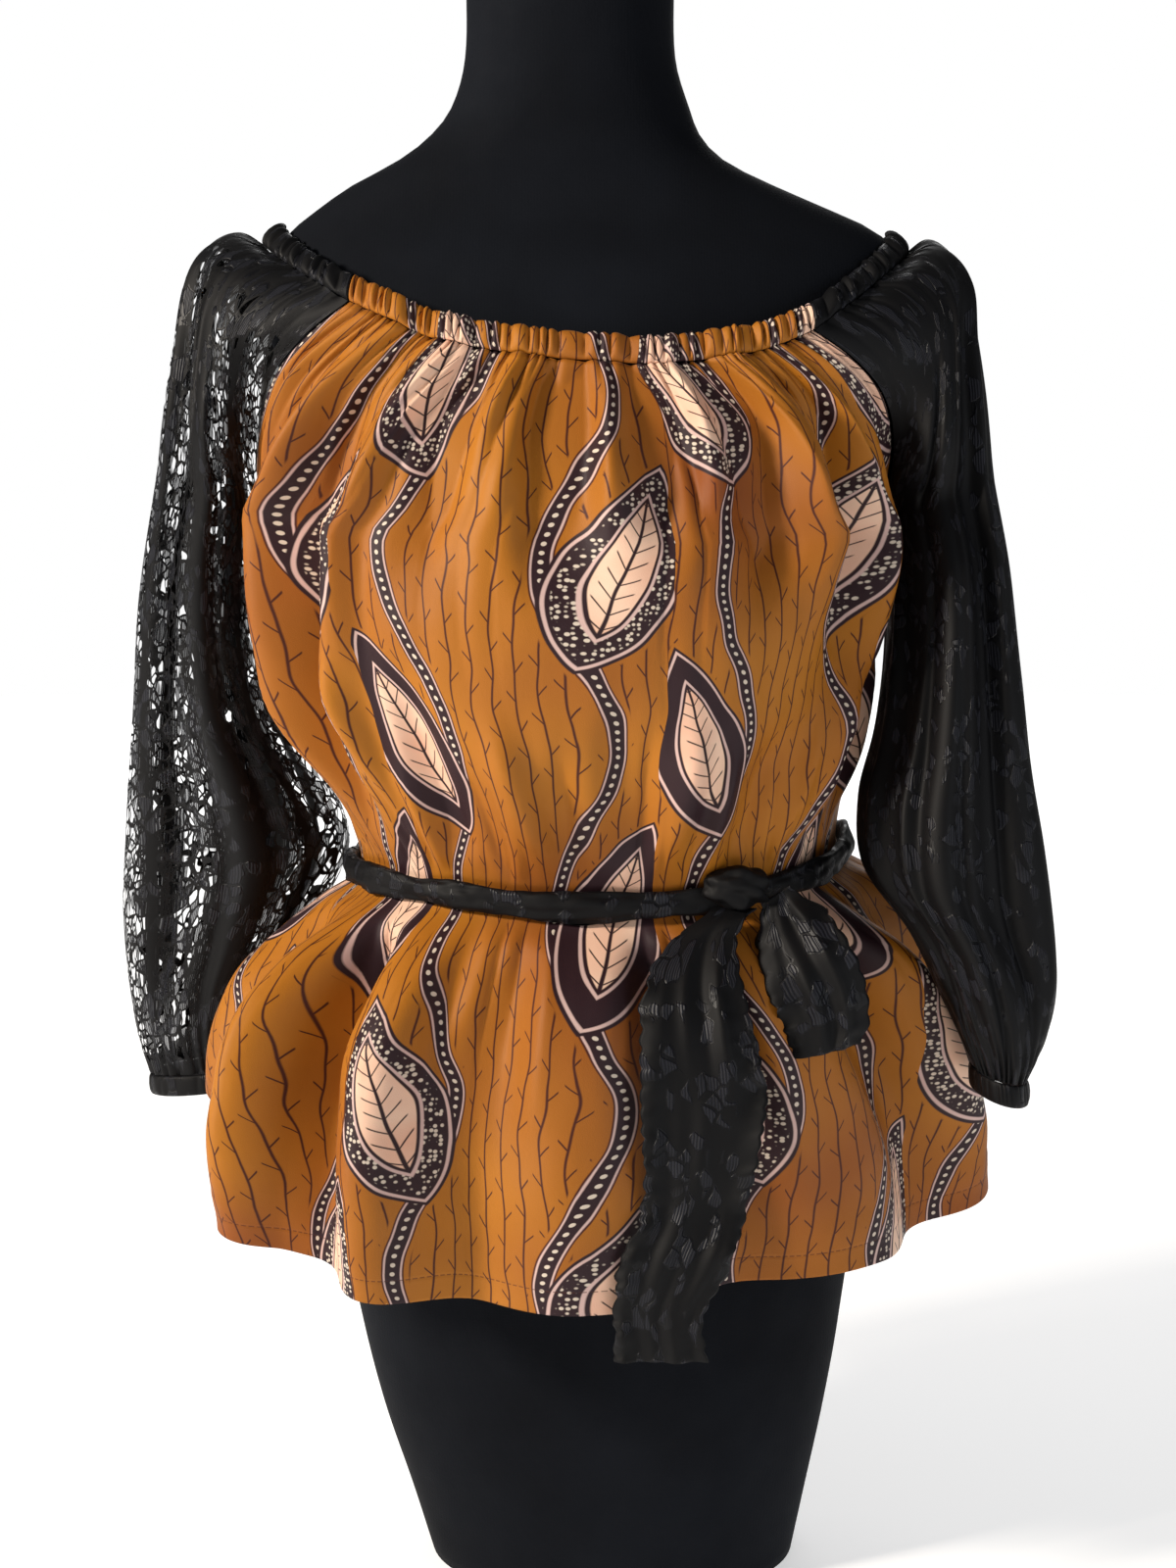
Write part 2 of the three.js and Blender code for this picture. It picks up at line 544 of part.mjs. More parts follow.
function cuff(wearer) {
  const count = GATHERS.cuff;
  const edge = (face, from, to) => steps(from, to, count)
    .map((place) => sleevePoint(wearer, face, CUFF_ROW, place, 0)).slice(0, -1);
  const loop = [...edge('front', 0, 1), ...edge('back', 1, 0)];
  const middle = loop.reduce((sum, p) => sum.add(p), V(0, 0, 0)).divideScalar(loop.length);
  const before = sleevePoint(wearer, 'front', CUFF_ROW - 1, 0).lerp(
    sleevePoint(wearer, 'front', CUFF_ROW - 1, 1), 0.5);
  const after = sleevePoint(wearer, 'front', CUFF_ROW, 0).lerp(
    sleevePoint(wearer, 'front', CUFF_ROW, 1), 0.5);
  const down = after.sub(before).normalize();
  const sections = loop.map((p, n) => {
    const puff = n % 2 ? -0.7 : 0.7;
    const out = p.clone().sub(middle);
    out.addScaledVector(down, -out.dot(down)).normalize();
    const at = (depth, away) => p.clone().addScaledVector(down, depth).addScaledVector(out, away);
    return [at(SEAM + 0.3, -CUFF_THICK / 2), at(CUFF_HEIGHT, -CUFF_THICK / 2),
      at(CUFF_HEIGHT, CUFF_THICK / 2 + puff), at(SEAM + 0.3, CUFF_THICK / 2 + puff)];
  });
  return bar(wearer === 'Right' ? sections : sections.reverse(), { ring: true });
}

// ---- sash --------------------------------------------------------------------------------
const SASH_CLEAR = 1;      // from the cloth's outside to the inside of the rolled sash
const SASH_SECTION = [[0, 0], [2.4, -7], [SASH_THICK, -5], [SASH_THICK + 1.5, 2], [2.4, 7]];

function sashBand() {
  const at = (side, from, to) => steps(from, to, COLUMNS[side]).slice(0, -1)
    .map((u) => bodyPoint(side, u, WAIST, 0));
  const loop = [...at('front', -1, 1), ...at('back', 1, -1)];
  const sections = loop.map((p, n) => {
    const swell = 1 + 0.1 * Math.sin(n * 1.3) + 0.08 * Math.sin(n * 0.5);
    return SASH_SECTION.map(([away, height]) => p.clone()
      .addScaledVector(p.out, SASH_CLEAR + away * swell)
      .add(V(0, 0, height * swell)));
  });
  return bar(sections, { ring: true });
}

const KNOT = { x: 82, z: 405, width: 32, height: 21, depth: 15 };
const KNOT_SEAT = 8.7;     // from the cloth behind it to the knot's back, against the turning band

// The front panel's surface straight in front of a point of the waist or peplum.
function peplumFront(x, z) {
  let last = null;
  for (const u of steps(-0.4, 1, 70)) {
    let level = Math.min(z, WAIST);
    for (let step = 0; step < 8 && z < WAIST; step++) {
      level = clamp(z - edgeRise('front', u, level), HEM_LEVEL, WAIST);
    }
    const p = bodyPoint('front', u, level, 0);
    if (last && last.x <= x && p.x > x) return lerp(last.y, p.y, (x - last.x) / (p.x - last.x));
    last = p;
  }
  return last.y;
}

// The ends of the sash, from the knot down, with their edges by height; drop tilts a row. The
// short one is a flattened half bow.
const LONG_END = table('z left right drop', [
  [394.2, 70, 92, 0], [388, 58, 84, 2], [380, 47, 80, 1], [360, 34, 82, 0], [334, 31, 88, 0],
  [303, 31, 93, 0], [273, 32, 90, 0], [246, 32, 84, 0], [219, 20, 76, 0], [192, 17, 62, 0],
  [167, 18, 63, 0],
]);
const SHORT_END = table('z left right drop', [
  [402, 97.5, 109, 4], [394, 95, 116, 7], [384, 93, 126, 11], [366, 98, 138, 14], [348, 105, 147, 10],
  [332, 109, 149, 6], [322, 113, 144, 4],
]);
const END_GAP = { long: 3.8, short: 2.5 };  // what each hangs in front of the peplum by
const END_REACH = 9;       // an end keeps clear of the cloth this far above and below each row
const END_COLUMNS = 6;

function sashEnd(end, gap, ripple, swell) {
  const start = knotCentre().y;
  let hang = start;
  const rows = end.rows.map(([z, left, right, drop], n) => {
    const across = steps(left, right, END_COLUMNS);
    const reach = Math.max(END_REACH, drop);
    const near = [z - reach, z, z + reach].flatMap((height) => across.map((x) => [x, height]));
    const cloth = near.map(([x, height]) => peplumFront(x, Math.max(height, HEM_LEVEL + 6)));
    hang = Math.min(hang, Math.min(...cloth) - gap);
    const fade = smooth(n, 0, 2);
    return across.map((x, k) => {
      const middle = 1 - (2 * k / END_COLUMNS - 1) ** 2;
      const wave = (Math.sin(k * 2.1 + n * 0.9) * (1 - 0.4 * middle) - 1) * ripple;
      return V(x, hang + fade * (wave - swell * middle), z + drop * (2 * k / END_COLUMNS - 1));
    });
  });
  return thicken(surface(rows.reverse()), TAIL_THICK);
}

function knotCentre() {
  return V(KNOT.x, peplumFront(KNOT.x, WAIST) - KNOT_SEAT - KNOT.depth / 2, KNOT.z);
}

function knot() {
  const geometry = new THREE.SphereGeometry(1, 14, 9);
  const position = geometry.attributes.position;
  for (const n of range(position.count)) {
    const p = V(0, 0, 0).fromBufferAttribute(position, n);
    const lump = 1 + 0.09 * Math.sin(5 * p.x + 3 * p.y) * Math.cos(4 * p.z);
    position.setXYZ(n, p.x * lump, p.y * lump, p.z * lump);
  }
  geometry.scale(KNOT.width / 2, KNOT.depth / 2, KNOT.height / 2);
  return geometry.translate(...knotCentre().toArray());
}

add('form_body', dressForm(), jersey);
for (const side of ['front', 'back']) {
  add(side, panel(side), print);
  add(`neck_casing_${side}`, panelCasing(side), print);
}
for (const wearer of ['Right', 'Left']) {
  const name = wearer.toLowerCase();
  for (const face of ['front', 'back']) add(`sleeve_${name}_${face}`, sleeve(wearer, face), lace);
  add(`neck_casing_sleeve_${name}`, sleeveCasing(wearer), lace);
  add(`cuff_${name}`, cuff(wearer), lace);
}
add('sash_band', sashBand(), lace);
add('sash_knot', knot(), lace);
add('sash_end_long', sashEnd(LONG_END, END_GAP.long, 1.6, 0), lace);
add('sash_end_short', sashEnd(SHORT_END, END_GAP.short, 0.8, 4), lace);

export default top;
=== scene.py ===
# An off-shoulder ankara top with lace bishop sleeves and a lace sash, on a limbless dress form.
# Measures in the tables are millimetres, as a maker writes them, and MM makes them metres when a
# piece is made. The front faces -Y, the wearer's left is +X, and the form stands on z = 0.
import math

import bmesh
import bpy
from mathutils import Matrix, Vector, noise


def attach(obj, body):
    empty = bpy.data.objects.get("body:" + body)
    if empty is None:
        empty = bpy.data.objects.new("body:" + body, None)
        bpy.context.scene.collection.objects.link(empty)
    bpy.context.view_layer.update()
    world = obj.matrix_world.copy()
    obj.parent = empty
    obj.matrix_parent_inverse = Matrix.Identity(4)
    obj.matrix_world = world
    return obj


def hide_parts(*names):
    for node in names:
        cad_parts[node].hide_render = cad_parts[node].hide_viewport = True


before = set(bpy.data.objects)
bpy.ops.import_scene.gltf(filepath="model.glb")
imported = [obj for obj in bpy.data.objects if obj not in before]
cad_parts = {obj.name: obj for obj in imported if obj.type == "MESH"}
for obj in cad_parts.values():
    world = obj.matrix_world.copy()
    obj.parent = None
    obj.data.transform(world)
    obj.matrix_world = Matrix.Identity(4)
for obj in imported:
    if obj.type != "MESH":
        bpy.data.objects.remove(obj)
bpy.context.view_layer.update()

MM = 0.001
COTTON = 0.8            # thickness of the printed cotton
WAIST = 398             # height of the sash at the centre front
TOP = 700               # level of the panels' top edges
UNDERARM = 600
HEM_LEVEL = 182
HEM_FOLD = HEM_LEVEL + 14   # top of the turned hem, where it is stitched
FOLD_DEEPER = 1.4       # how much deeper the cloth folds than the plain form under the sash
CREASE_DEEPER = 2.4
FORM_TOP = 900
FORM_GAP = 0.6          # least gap between cloth and dress form
SQUARENESS = 2.3        # exponent of the body's cross-sections, 2 is an ellipse
CASING_HEIGHT = 15      # elastic casing at the neckline
CASING_THICK = 3.6
CUFF_HEIGHT = 13
CUFF_THICK = 3.2
GATHERS = {"front": 42, "back": 32, "sleeve": 14, "cuff": 14}


# ---- small helpers ----
def lerp(low, high, share):
    return low + (high - low) * share


def clamp(value, low=0.0, high=1.0):
    return max(low, min(high, value))


def smooth(value, low, high):
    share = clamp((value - low) / (high - low))
    return share * share * (3 - 2 * share)


def bell(distance):
    return math.exp(-distance * distance / 2)


def signed_power(value, power):
    return math.copysign(abs(value) ** power, value)


class Table:
    """Rows of measures under named columns. at() reads a column smoothly between its rows."""

    def __init__(self, header, rows):
        self.names = header.split()
        self.rows = rows
        self.keys = [row[0] for row in rows]
        self.known = {}

    def at(self, name, key):
        if (name, key) not in self.known:
            self.known[name, key] = self.between(self.names.index(name), key)
        return self.known[name, key]

    def between(self, column, key):
        last = len(self.rows) - 1
        key = clamp(key, self.keys[0], self.keys[last])
        after = max(1, next(n for n, edge in enumerate(self.keys) if edge >= key))
        before = after - 1

        def slope(n):
            low, high = max(n - 1, 0), min(n + 1, last)
            rise = self.rows[high][column] - self.rows[low][column]
            return rise / (self.keys[high] - self.keys[low])

        span = self.keys[after] - self.keys[before]
        t = (key - self.keys[before]) / span
        stay = 2 * t ** 3 - 3 * t ** 2 + 1
        return (
            self.rows[before][column] * stay
            + slope(before) * span * (t ** 3 - 2 * t ** 2 + t)
            + self.rows[after][column] * (1 - stay)
            + slope(after) * span * (t ** 3 - t ** 2)
        )

    def records(self):
        return [dict(zip(self.names, row)) for row in self.rows]


# ---- the dress form ----
FORM = Table("z half front back shift", [
    (0, 106, 84, 84, 17), (40, 116, 90, 92, 15), (90, 129, 97, 106, 12), (140, 139, 102, 117, 10),
    (200, 147, 106, 123, 8), (270, 142, 103, 110, 6), (340, 126, 95, 92, 5), (398, 119, 91, 85, 5),
    (450, 125, 98, 88, 3), (520, 138, 114, 95, 0), (580, 149, 130, 100, -3),
    (630, 155, 119, 102, -3), (670, 166, 101, 102, 0), (695, 174, 89, 100, 1),
    (717, 178, 79, 93, 1), (734, 177, 71, 84, 1), (747, 171, 63, 76, 1), (757, 162, 56, 70, 0),
    (768, 143, 52, 66, -5), (781, 118, 50, 63, -11), (794, 92, 49, 60, -12),
    (807, 76, 48, 58, -10), (823, 66, 47, 56, -7), (850, 58, 46, 55, -7), (894, 57, 46, 54, -7),
])


def form_point(angle, z):
    depth = FORM.at("front" if math.cos(angle) > 0 else "back", z)
    return Vector((
        FORM.at("shift", z) + FORM.at("half", z) * signed_power(math.sin(angle), 2 / SQUARENESS),
        -depth * signed_power(math.cos(angle), 2 / SQUARENESS),
        z,
    ))


def clear_of_form(point, gap):
    """The point, moved sideways until it is at least gap away from the form at its height."""
    if point.z > FORM_TOP:
        return point.copy()
    shift = FORM.at("shift", round(point.z, 1))
    x = point.x - shift
    depth = FORM.at("front" if point.y < 0 else "back", round(point.z, 1))
    half = FORM.at("half", round(point.z, 1))
    reach = (abs(x / half) ** SQUARENESS + abs(point.y / depth) ** SQUARENESS) ** (1 / SQUARENESS)
    grow = max(1, (1 + gap * reach / math.hypot(x, point.y)) / reach)
    return Vector((shift + x * grow, point.y * grow, point.z))


# ---- the body of the top ----
# Sections of the cloth by level. Levels are heights before hem, waist and neckline are curved.
BODY = Table("level right left front back turn", [
    (160, 210, 244, 158, 152, 0.26), (200, 210, 243, 158, 152, 0.26),
    (240, 209, 240, 157, 151, 0.25), (280, 204, 228, 153, 148, 0.22),
    (320, 193, 211, 146, 140, 0.17), (350, 172, 193, 136, 128, 0.11),
    (376, 147, 164, 117, 108, 0.05), (389, 129, 145.5, 102.5, 94, 0), (398, 127, 144, 100, 92, 0),
    (407, 127, 144, 102, 93, 0), (424, 132, 145, 114, 98, 0), (450, 144, 151, 128, 104, 0),
    (480, 162, 155, 139, 108, 0), (520, 175, 158, 147, 112, 0), (560, 180, 161, 150, 115, 0),
    (600, 181, 166, 145, 117, 0), (640, 184, 176, 131, 117, 0), (670, 187, 184, 116, 114, 0),
    (700, 190, 190, 103, 107, 0), (715, 190, 190, 98, 103, 0),
])

# Where the raglan seams cross each level, in degrees round from the centre of the panel.
RAGLAN = Table("level front_right front_left back_right back_left", [
    (600, 90, 90, 90, 90), (615, 80, 80, 81, 81), (640, 70, 70, 71, 71), (665, 59, 58.5, 61, 61),
    (685, 47, 46.5, 50, 50), (700, 37, 36.5, 41, 41),
])

# How far hem, waist and top edge stand above their levels, from side to side.
EDGES = {
    "front": Table("u hem waist top", [
        (-1, 104, 6, 13), (-0.8, 64, 6, 4), (-0.6, 41, 5, -5), (-0.35, 22, 2, -12),
        (0, 9, -3, -18), (0.25, 9, -1, -20), (0.4, 15, 3, -18), (0.6, 17, 8, -15),
        (0.8, 43, 14, -10), (1, 99, 22, -2),
    ]),
    "back": Table("u hem waist top", [
        (-1, 104, 6, 13), (-0.8, 62, 7, 12), (-0.5, 24, 8, 9), (0, 6, 9, 6), (0.5, 24, 13, 4),
        (0.8, 60, 18, 1), (1, 99, 22, -2),
    ]),
}
EDGE_HALF = 190         # half-width and depth of the neckline's loop
EDGE_DEPTH = 100

# Half of a panel's flat width by level: gathered to the casing, straight to the waist, then flared.
FLAT = Table("level half", [
    (160, 352), (182, 350), (280, 325), (398, 290), (520, 270), (600, 248), (700, 215), (715, 215),
])

# A fold's place across the panel at its upper and lower end, those ends' levels, its half-width
# and its height, negative where it is a trough.
FOLDS = {
    "front": Table("upper_u lower_u upper lower width height", [
        (-0.75, -0.70, 694, 420, 9, 13), (-0.60, -0.62, 690, 425, 9, -16),
        (-0.47, -0.50, 694, 440, 8, 9), (-0.30, -0.26, 692, 560, 9, -8),
        (-0.16, -0.14, 694, 600, 8, 5), (-0.04, -0.01, 694, 560, 7, -9),
        (0.06, 0.05, 692, 600, 7, 5), (0.17, 0.15, 694, 590, 7, -9), (0.30, 0.28, 692, 620, 8, 6),
        (0.43, 0.36, 694, 560, 9, -12), (0.57, 0.52, 694, 540, 9, 9),
        (0.71, 0.64, 690, 500, 8, -13), (0.85, 0.62, 640, 430, 10, 10),
        (0.22, 0.16, 500, 404, 6, 6), (0.06, 0.07, 510, 404, 6, -6), (-0.14, -0.08, 500, 404, 6, 6),
        (-0.35, -0.27, 530, 404, 8, -9), (0.42, 0.34, 490, 404, 7, -8),
        (-0.54, -0.44, 540, 404, 7, 7), (0.66, 0.52, 520, 406, 8, 8),
        (-0.64, -0.60, 392, 190, 15, 19), (-0.47, -0.50, 392, 186, 13, -24),
        (-0.32, -0.34, 385, 184, 14, 11), (-0.12, -0.16, 388, 186, 12, -13),
        (0.02, 0.00, 385, 184, 14, 8), (0.13, 0.20, 388, 190, 11, -14),
        (0.33, 0.42, 385, 192, 16, 9), (0.48, 0.58, 385, 190, 12, -18),
        (0.64, 0.72, 388, 192, 14, 15), (0.80, 0.86, 385, 200, 13, -15),
        (-0.83, -0.84, 388, 200, 15, -15),
    ]),
    "back": Table("upper_u lower_u upper lower width height", [
        (-0.70, -0.66, 690, 470, 10, 6), (-0.42, -0.46, 690, 520, 9, -5),
        (-0.08, -0.12, 690, 560, 8, 5), (0.24, 0.22, 690, 540, 9, -5),
        (0.58, 0.56, 690, 460, 10, 6), (-0.60, -0.58, 392, 190, 16, 13),
        (-0.38, -0.42, 392, 190, 14, -13), (-0.14, -0.18, 392, 186, 16, 10),
        (0.10, 0.12, 392, 186, 14, -12), (0.34, 0.38, 392, 190, 17, 12),
        (0.62, 0.66, 392, 195, 14, -11),
    ]),
}
# Smaller, crisper creases in the same columns: short pleats under the casing, drag lines into the
# sash and slack pleats of the peplum.
CREASES = {
    "front": Table("upper_u lower_u upper lower width height", [
        (-0.90, -0.84, 690, 600, 4, 2.2), (-0.80, -0.78, 695, 560, 4, -2.6),
        (-0.64, -0.66, 695, 520, 4, 3.0), (-0.50, -0.52, 698, 470, 4, -3.0),
        (-0.40, -0.46, 698, 620, 3, 2.2), (-0.30, -0.26, 698, 590, 3, -2.6),
        (-0.20, -0.22, 698, 640, 3, 2.0), (-0.09, -0.07, 698, 566, 3.4, -3.2),
        (0.05, 0.03, 698, 600, 3, 2.6), (0.20, 0.24, 698, 610, 3, -2.4),
        (0.30, 0.27, 698, 650, 3, 2.2), (0.38, 0.36, 698, 560, 3.6, -3.0),
        (0.52, 0.54, 698, 600, 3, 2.4), (0.66, 0.62, 696, 540, 4, -3.2),
        (0.80, 0.74, 690, 500, 4, 2.8), (0.92, 0.84, 660, 520, 4, -2.6),
        (-0.76, -0.60, 520, 408, 5, 3.0), (-0.52, -0.44, 500, 408, 4, -3.0),
        (-0.42, -0.34, 470, 406, 3.6, 2.4), (-0.22, -0.17, 476, 406, 3.4, -2.6),
        (-0.03, -0.02, 486, 406, 3.4, -2.8), (0.12, 0.11, 500, 406, 3.4, -2.6),
        (0.30, 0.25, 484, 406, 3.6, 2.6), (0.56, 0.46, 500, 410, 4, 2.6),
        (0.76, 0.60, 520, 414, 4.5, -3.0), (0.92, 0.76, 540, 418, 5, 2.8),
        (-0.72, -0.76, 386, 200, 6, -4.0), (-0.54, -0.56, 388, 200, 6, -4.0),
        (-0.40, -0.42, 388, 260, 5, 3.4), (-0.24, -0.26, 388, 230, 5, -3.4),
        (-0.05, -0.06, 388, 280, 4, 3.0), (0.08, 0.10, 388, 250, 5, -3.2),
        (0.24, 0.30, 388, 220, 5, 3.4), (0.40, 0.50, 388, 240, 5, -3.4),
        (0.70, 0.80, 388, 220, 6, -4.0), (0.90, 0.94, 388, 230, 6, 3.6),
    ]),
    "back": Table("upper_u lower_u upper lower width height", [
        (-0.86, -0.80, 690, 560, 4, -2.6), (-0.56, -0.58, 696, 520, 4, 2.6),
        (-0.30, -0.28, 696, 600, 3.4, -2.4), (0.04, 0.02, 696, 560, 3.4, -2.8),
        (0.14, 0.14, 696, 620, 3, 2.2), (0.40, 0.42, 696, 580, 3.6, -2.8),
        (0.76, 0.72, 690, 520, 4, -3.0), (-0.50, -0.40, 520, 408, 4, 2.8),
        (-0.20, -0.16, 490, 408, 3.6, -2.6), (0.10, 0.08, 500, 408, 3.6, 2.6),
        (0.36, 0.30, 500, 410, 4, -2.8), (0.66, 0.54, 520, 414, 4, 2.8),
        (-0.48, -0.52, 388, 220, 6, 3.6), (-0.26, -0.28, 388, 240, 5, -3.4),
        (0.0, -0.02, 388, 260, 5, 3.0), (0.22, 0.24, 388, 230, 5, -3.4),
        (0.48, 0.52, 388, 220, 6, 3.6), (0.80, 0.84, 388, 230, 6, -3.6),
    ]),
}
SASH_REACH = 8          # above and below the waist, the sash presses the cloth plain
HALF_SPREAD = 190       # half a panel's width where u goes from 0 to 1, about


def fold_height(folds, u, level, crisp=False):
    total = 0.0
    for fold in folds:
        along = (fold["upper"] - level) / (fold["upper"] - fold["lower"])
        if not -0.15 < along < 1.1:
            continue
        hem = fold["lower"] < HEM_LEVEL + 25
        fade = smooth(along, -0.15, 0.3) * (1 if hem else 1 - smooth(along, 0.55, 1.1))
        spread = lerp(0.6, 1.3, clamp(along)) if hem else 1
        centre = lerp(fold["upper_u"], fold["lower_u"], along)
        across = (u - centre) * HALF_SPREAD / (fold["width"] * spread)
        if crisp:
            total += CREASE_DEEPER * fold["height"] * fade * math.exp(-abs(across / 1.35) ** 1.6)
        else:
            recess = 0.45 * bell((across - 1.6) / 0.6) if fold["height"] > 0 else 0
            total += fold["height"] * fade * (bell(across) - recess)
    return total


def gather_phase(count, share):
    """Counts the gathers from one end of an edge to the other, unevenly, as elastic draws them."""
    phase = count * share
    return phase + 0.32 * math.sin(1.7 * phase) + 0.22 * math.sin(0.63 * phase + 1)


def gather_height(side, u, level):
    phase = gather_phase(GATHERS[side], (u + 1) / 2)
    number = math.floor(phase)
    puff = abs(math.sin(math.pi * phase)) ** 0.8 - 0.6
    length = 24 + 12 * math.sin(number * 2.4) + 8 * math.sin(number * 5.1)
    small = 3.2 * puff * math.exp(-abs((TOP - level) / max(length, 10)) ** 1.5)
    # Further down they run together into fewer and longer folds.
    phase = gather_phase(GATHERS[side] * 0.42, (u + 1) / 2 + 0.01 * math.sin(level / 40))
    number = math.floor(phase)
    length = 74 + 34 * math.sin(number * 2.1) + 26 * math.sin(number * 4.7)
    size = 5.0 + 2.2 * math.sin(number * 3.3)
    swell = math.sin(math.pi * (phase - number)) ** 1.3 - 0.5
    down = (TOP - level) / max(length, 26)
    return small + size * swell * smooth(TOP - level, -4, 22) * math.exp(-down ** 1.7)


def waist_height(side, u, level):
    phase = gather_phase(26 if side == "front" else 22, (u + 1) / 2)
    number = math.floor(phase)
    puff = abs(math.sin(math.pi * phase)) - 0.6
    reach = 34 + 16 * math.sin(number * 3.7) if level > WAIST else 52 + 26 * math.sin(number * 2.9)
    return (3.4 + 1.2 * math.sin(number * 4.1)) * puff * math.exp(
        -abs((level - WAIST) / reach) ** 1.5)


def edge_rise(side, u, level):
    """How far a point of a panel stands above its level."""
    edges = EDGES[side]
    waist = edges.at("waist", u)
    if level > WAIST:
        return lerp(waist, edges.at("top", u), (level - WAIST) / (TOP - WAIST))
    return lerp(waist, edges.at("hem", u), ((WAIST - level) / (WAIST - HEM_LEVEL)) ** 1.4)


def edge_frame(point):
    """The way a casing stands on an edge point: up the slope of the form, and out from it."""
    around = Vector((point.x / EDGE_HALF ** 2, point.y / EDGE_DEPTH ** 2, 0)).normalized()
    lean = lerp(0.36, 0.74, smooth(abs(point.x), 100, 160))
    rise = math.sqrt(1 - lean * lean)
    return Vector((-lean * around.x, -lean * around.y, rise)), Vector((
        rise * around.x, rise * around.y, lean))


FOLD_RECORDS = {side: FOLDS[side].records() for side in FOLDS}
CREASE_RECORDS = {side: CREASES[side].records() for side in CREASES}


def crumple(u, level, seed):
    """Soft unevenness of handled cotton, longer down the fall than across it."""
    broad = noise.noise(Vector((u * 5.0, level / 90, seed)))
    fine = noise.noise(Vector((u * 17.0, level / 34, seed + 7)))
    return 2.6 * broad + 1.0 * fine


def body_point(side, u, level, plain=False):
    """A point of a panel and the way out of the cloth there."""
    wearer = "right" if u < 0 else "left"
    half = BODY.at(wearer, level)
    depth = BODY.at(side, level)
    facing = -1 if side == "front" else 1
    widest = RAGLAN.at(side + "_" + wearer, level) if level > UNDERARM else 90
    angle = abs(u) * math.radians(widest)
    sign = -1 if u < 0 else 1
    x = sign * half * math.sin(angle) ** (2 / SQUARENESS)
    y = facing * depth * max(0.0, math.cos(angle)) ** (2 / SQUARENESS)
    out = Vector((math.sin(angle) * sign / half, facing * math.cos(angle) / depth, 0)).normalized()
    near_sash = smooth(abs(level - WAIST), SASH_REACH, 40)
    height = fold_height(FOLD_RECORDS[side], u, level) * near_sash
    if not plain:
        height *= FOLD_DEEPER
        near_waist = smooth(abs(level - WAIST), SASH_REACH, 22)
        height += gather_height(side, u, level) + waist_height(side, u, level) * near_waist
        height += fold_height(CREASE_RECORDS[side], u, level, crisp=True) * near_waist
        height += crumple(u, level, 1 if side == "front" else 5) * near_sash
        if level < HEM_LEVEL + 30:
            height += 0.5 * smooth(HEM_FOLD, level + 1.5, level - 1.5)
    to_seam = smooth(1 - abs(u), 0, 0.07)
    point = Vector((x, y + BODY.at("turn", level) * x, level + edge_rise(side, u, level)))
    clear = clear_of_form(point + out * (height * to_seam), FORM_GAP + COTTON + 2)
    if level < TOP:
        return clear, out
    up, out = edge_frame(point)
    return point + out * (height * to_seam), out


# ---- making a piece ----
def finish_piece(name, bm, coat, replaced):
    for face in bm.faces:
        face.smooth = True
    mesh = bpy.data.meshes.new(name)
    bm.to_mesh(mesh)
    bm.free()
    mesh.materials.append(coat)
    piece = bpy.data.objects.new(name, mesh)
    bpy.context.scene.collection.objects.link(piece)
    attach(piece, "root")
    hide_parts(*replaced)
    return piece


def laid_grid(columns, rows, place):
    """A grid whose corners go where place(across, along) says, both from 0 to 1. place gives the
    point, its place on the flat cloth in metres, and a mark from 0 to 1 for the finish."""
    bm = bmesh.new()
    bmesh.ops.create_grid(bm, x_segments=columns, y_segments=rows, size=0.5)
    flat = bm.loops.layers.uv.verify()
    mark = bm.verts.layers.float.new("mark")
    on_cloth = {}
    for vert in bm.verts:
        point, pattern, shade = place(round(vert.co.x + 0.5, 6), round(vert.co.y + 0.5, 6))
        vert.co = point * MM
        vert[mark] = shade
        on_cloth[vert] = pattern
    for face in bm.faces:
        for loop in face.loops:
            loop[flat].uv = on_cloth[loop.vert]
    return bm


def closed_up(bm, fill=False):
    bmesh.ops.remove_doubles(bm, verts=bm.verts, dist=0.00002)
    if fill:
        bmesh.ops.holes_fill(bm, edges=[edge for edge in bm.edges if edge.is_boundary])
    bmesh.ops.recalc_face_normals(bm, faces=bm.faces)
    return bm


def walled(piece, thickness):
    wall = piece.modifiers.new("wall", "SOLIDIFY")
    wall.thickness = thickness * MM
    wall.offset = -1
    wall.use_even_offset = False
    return piece


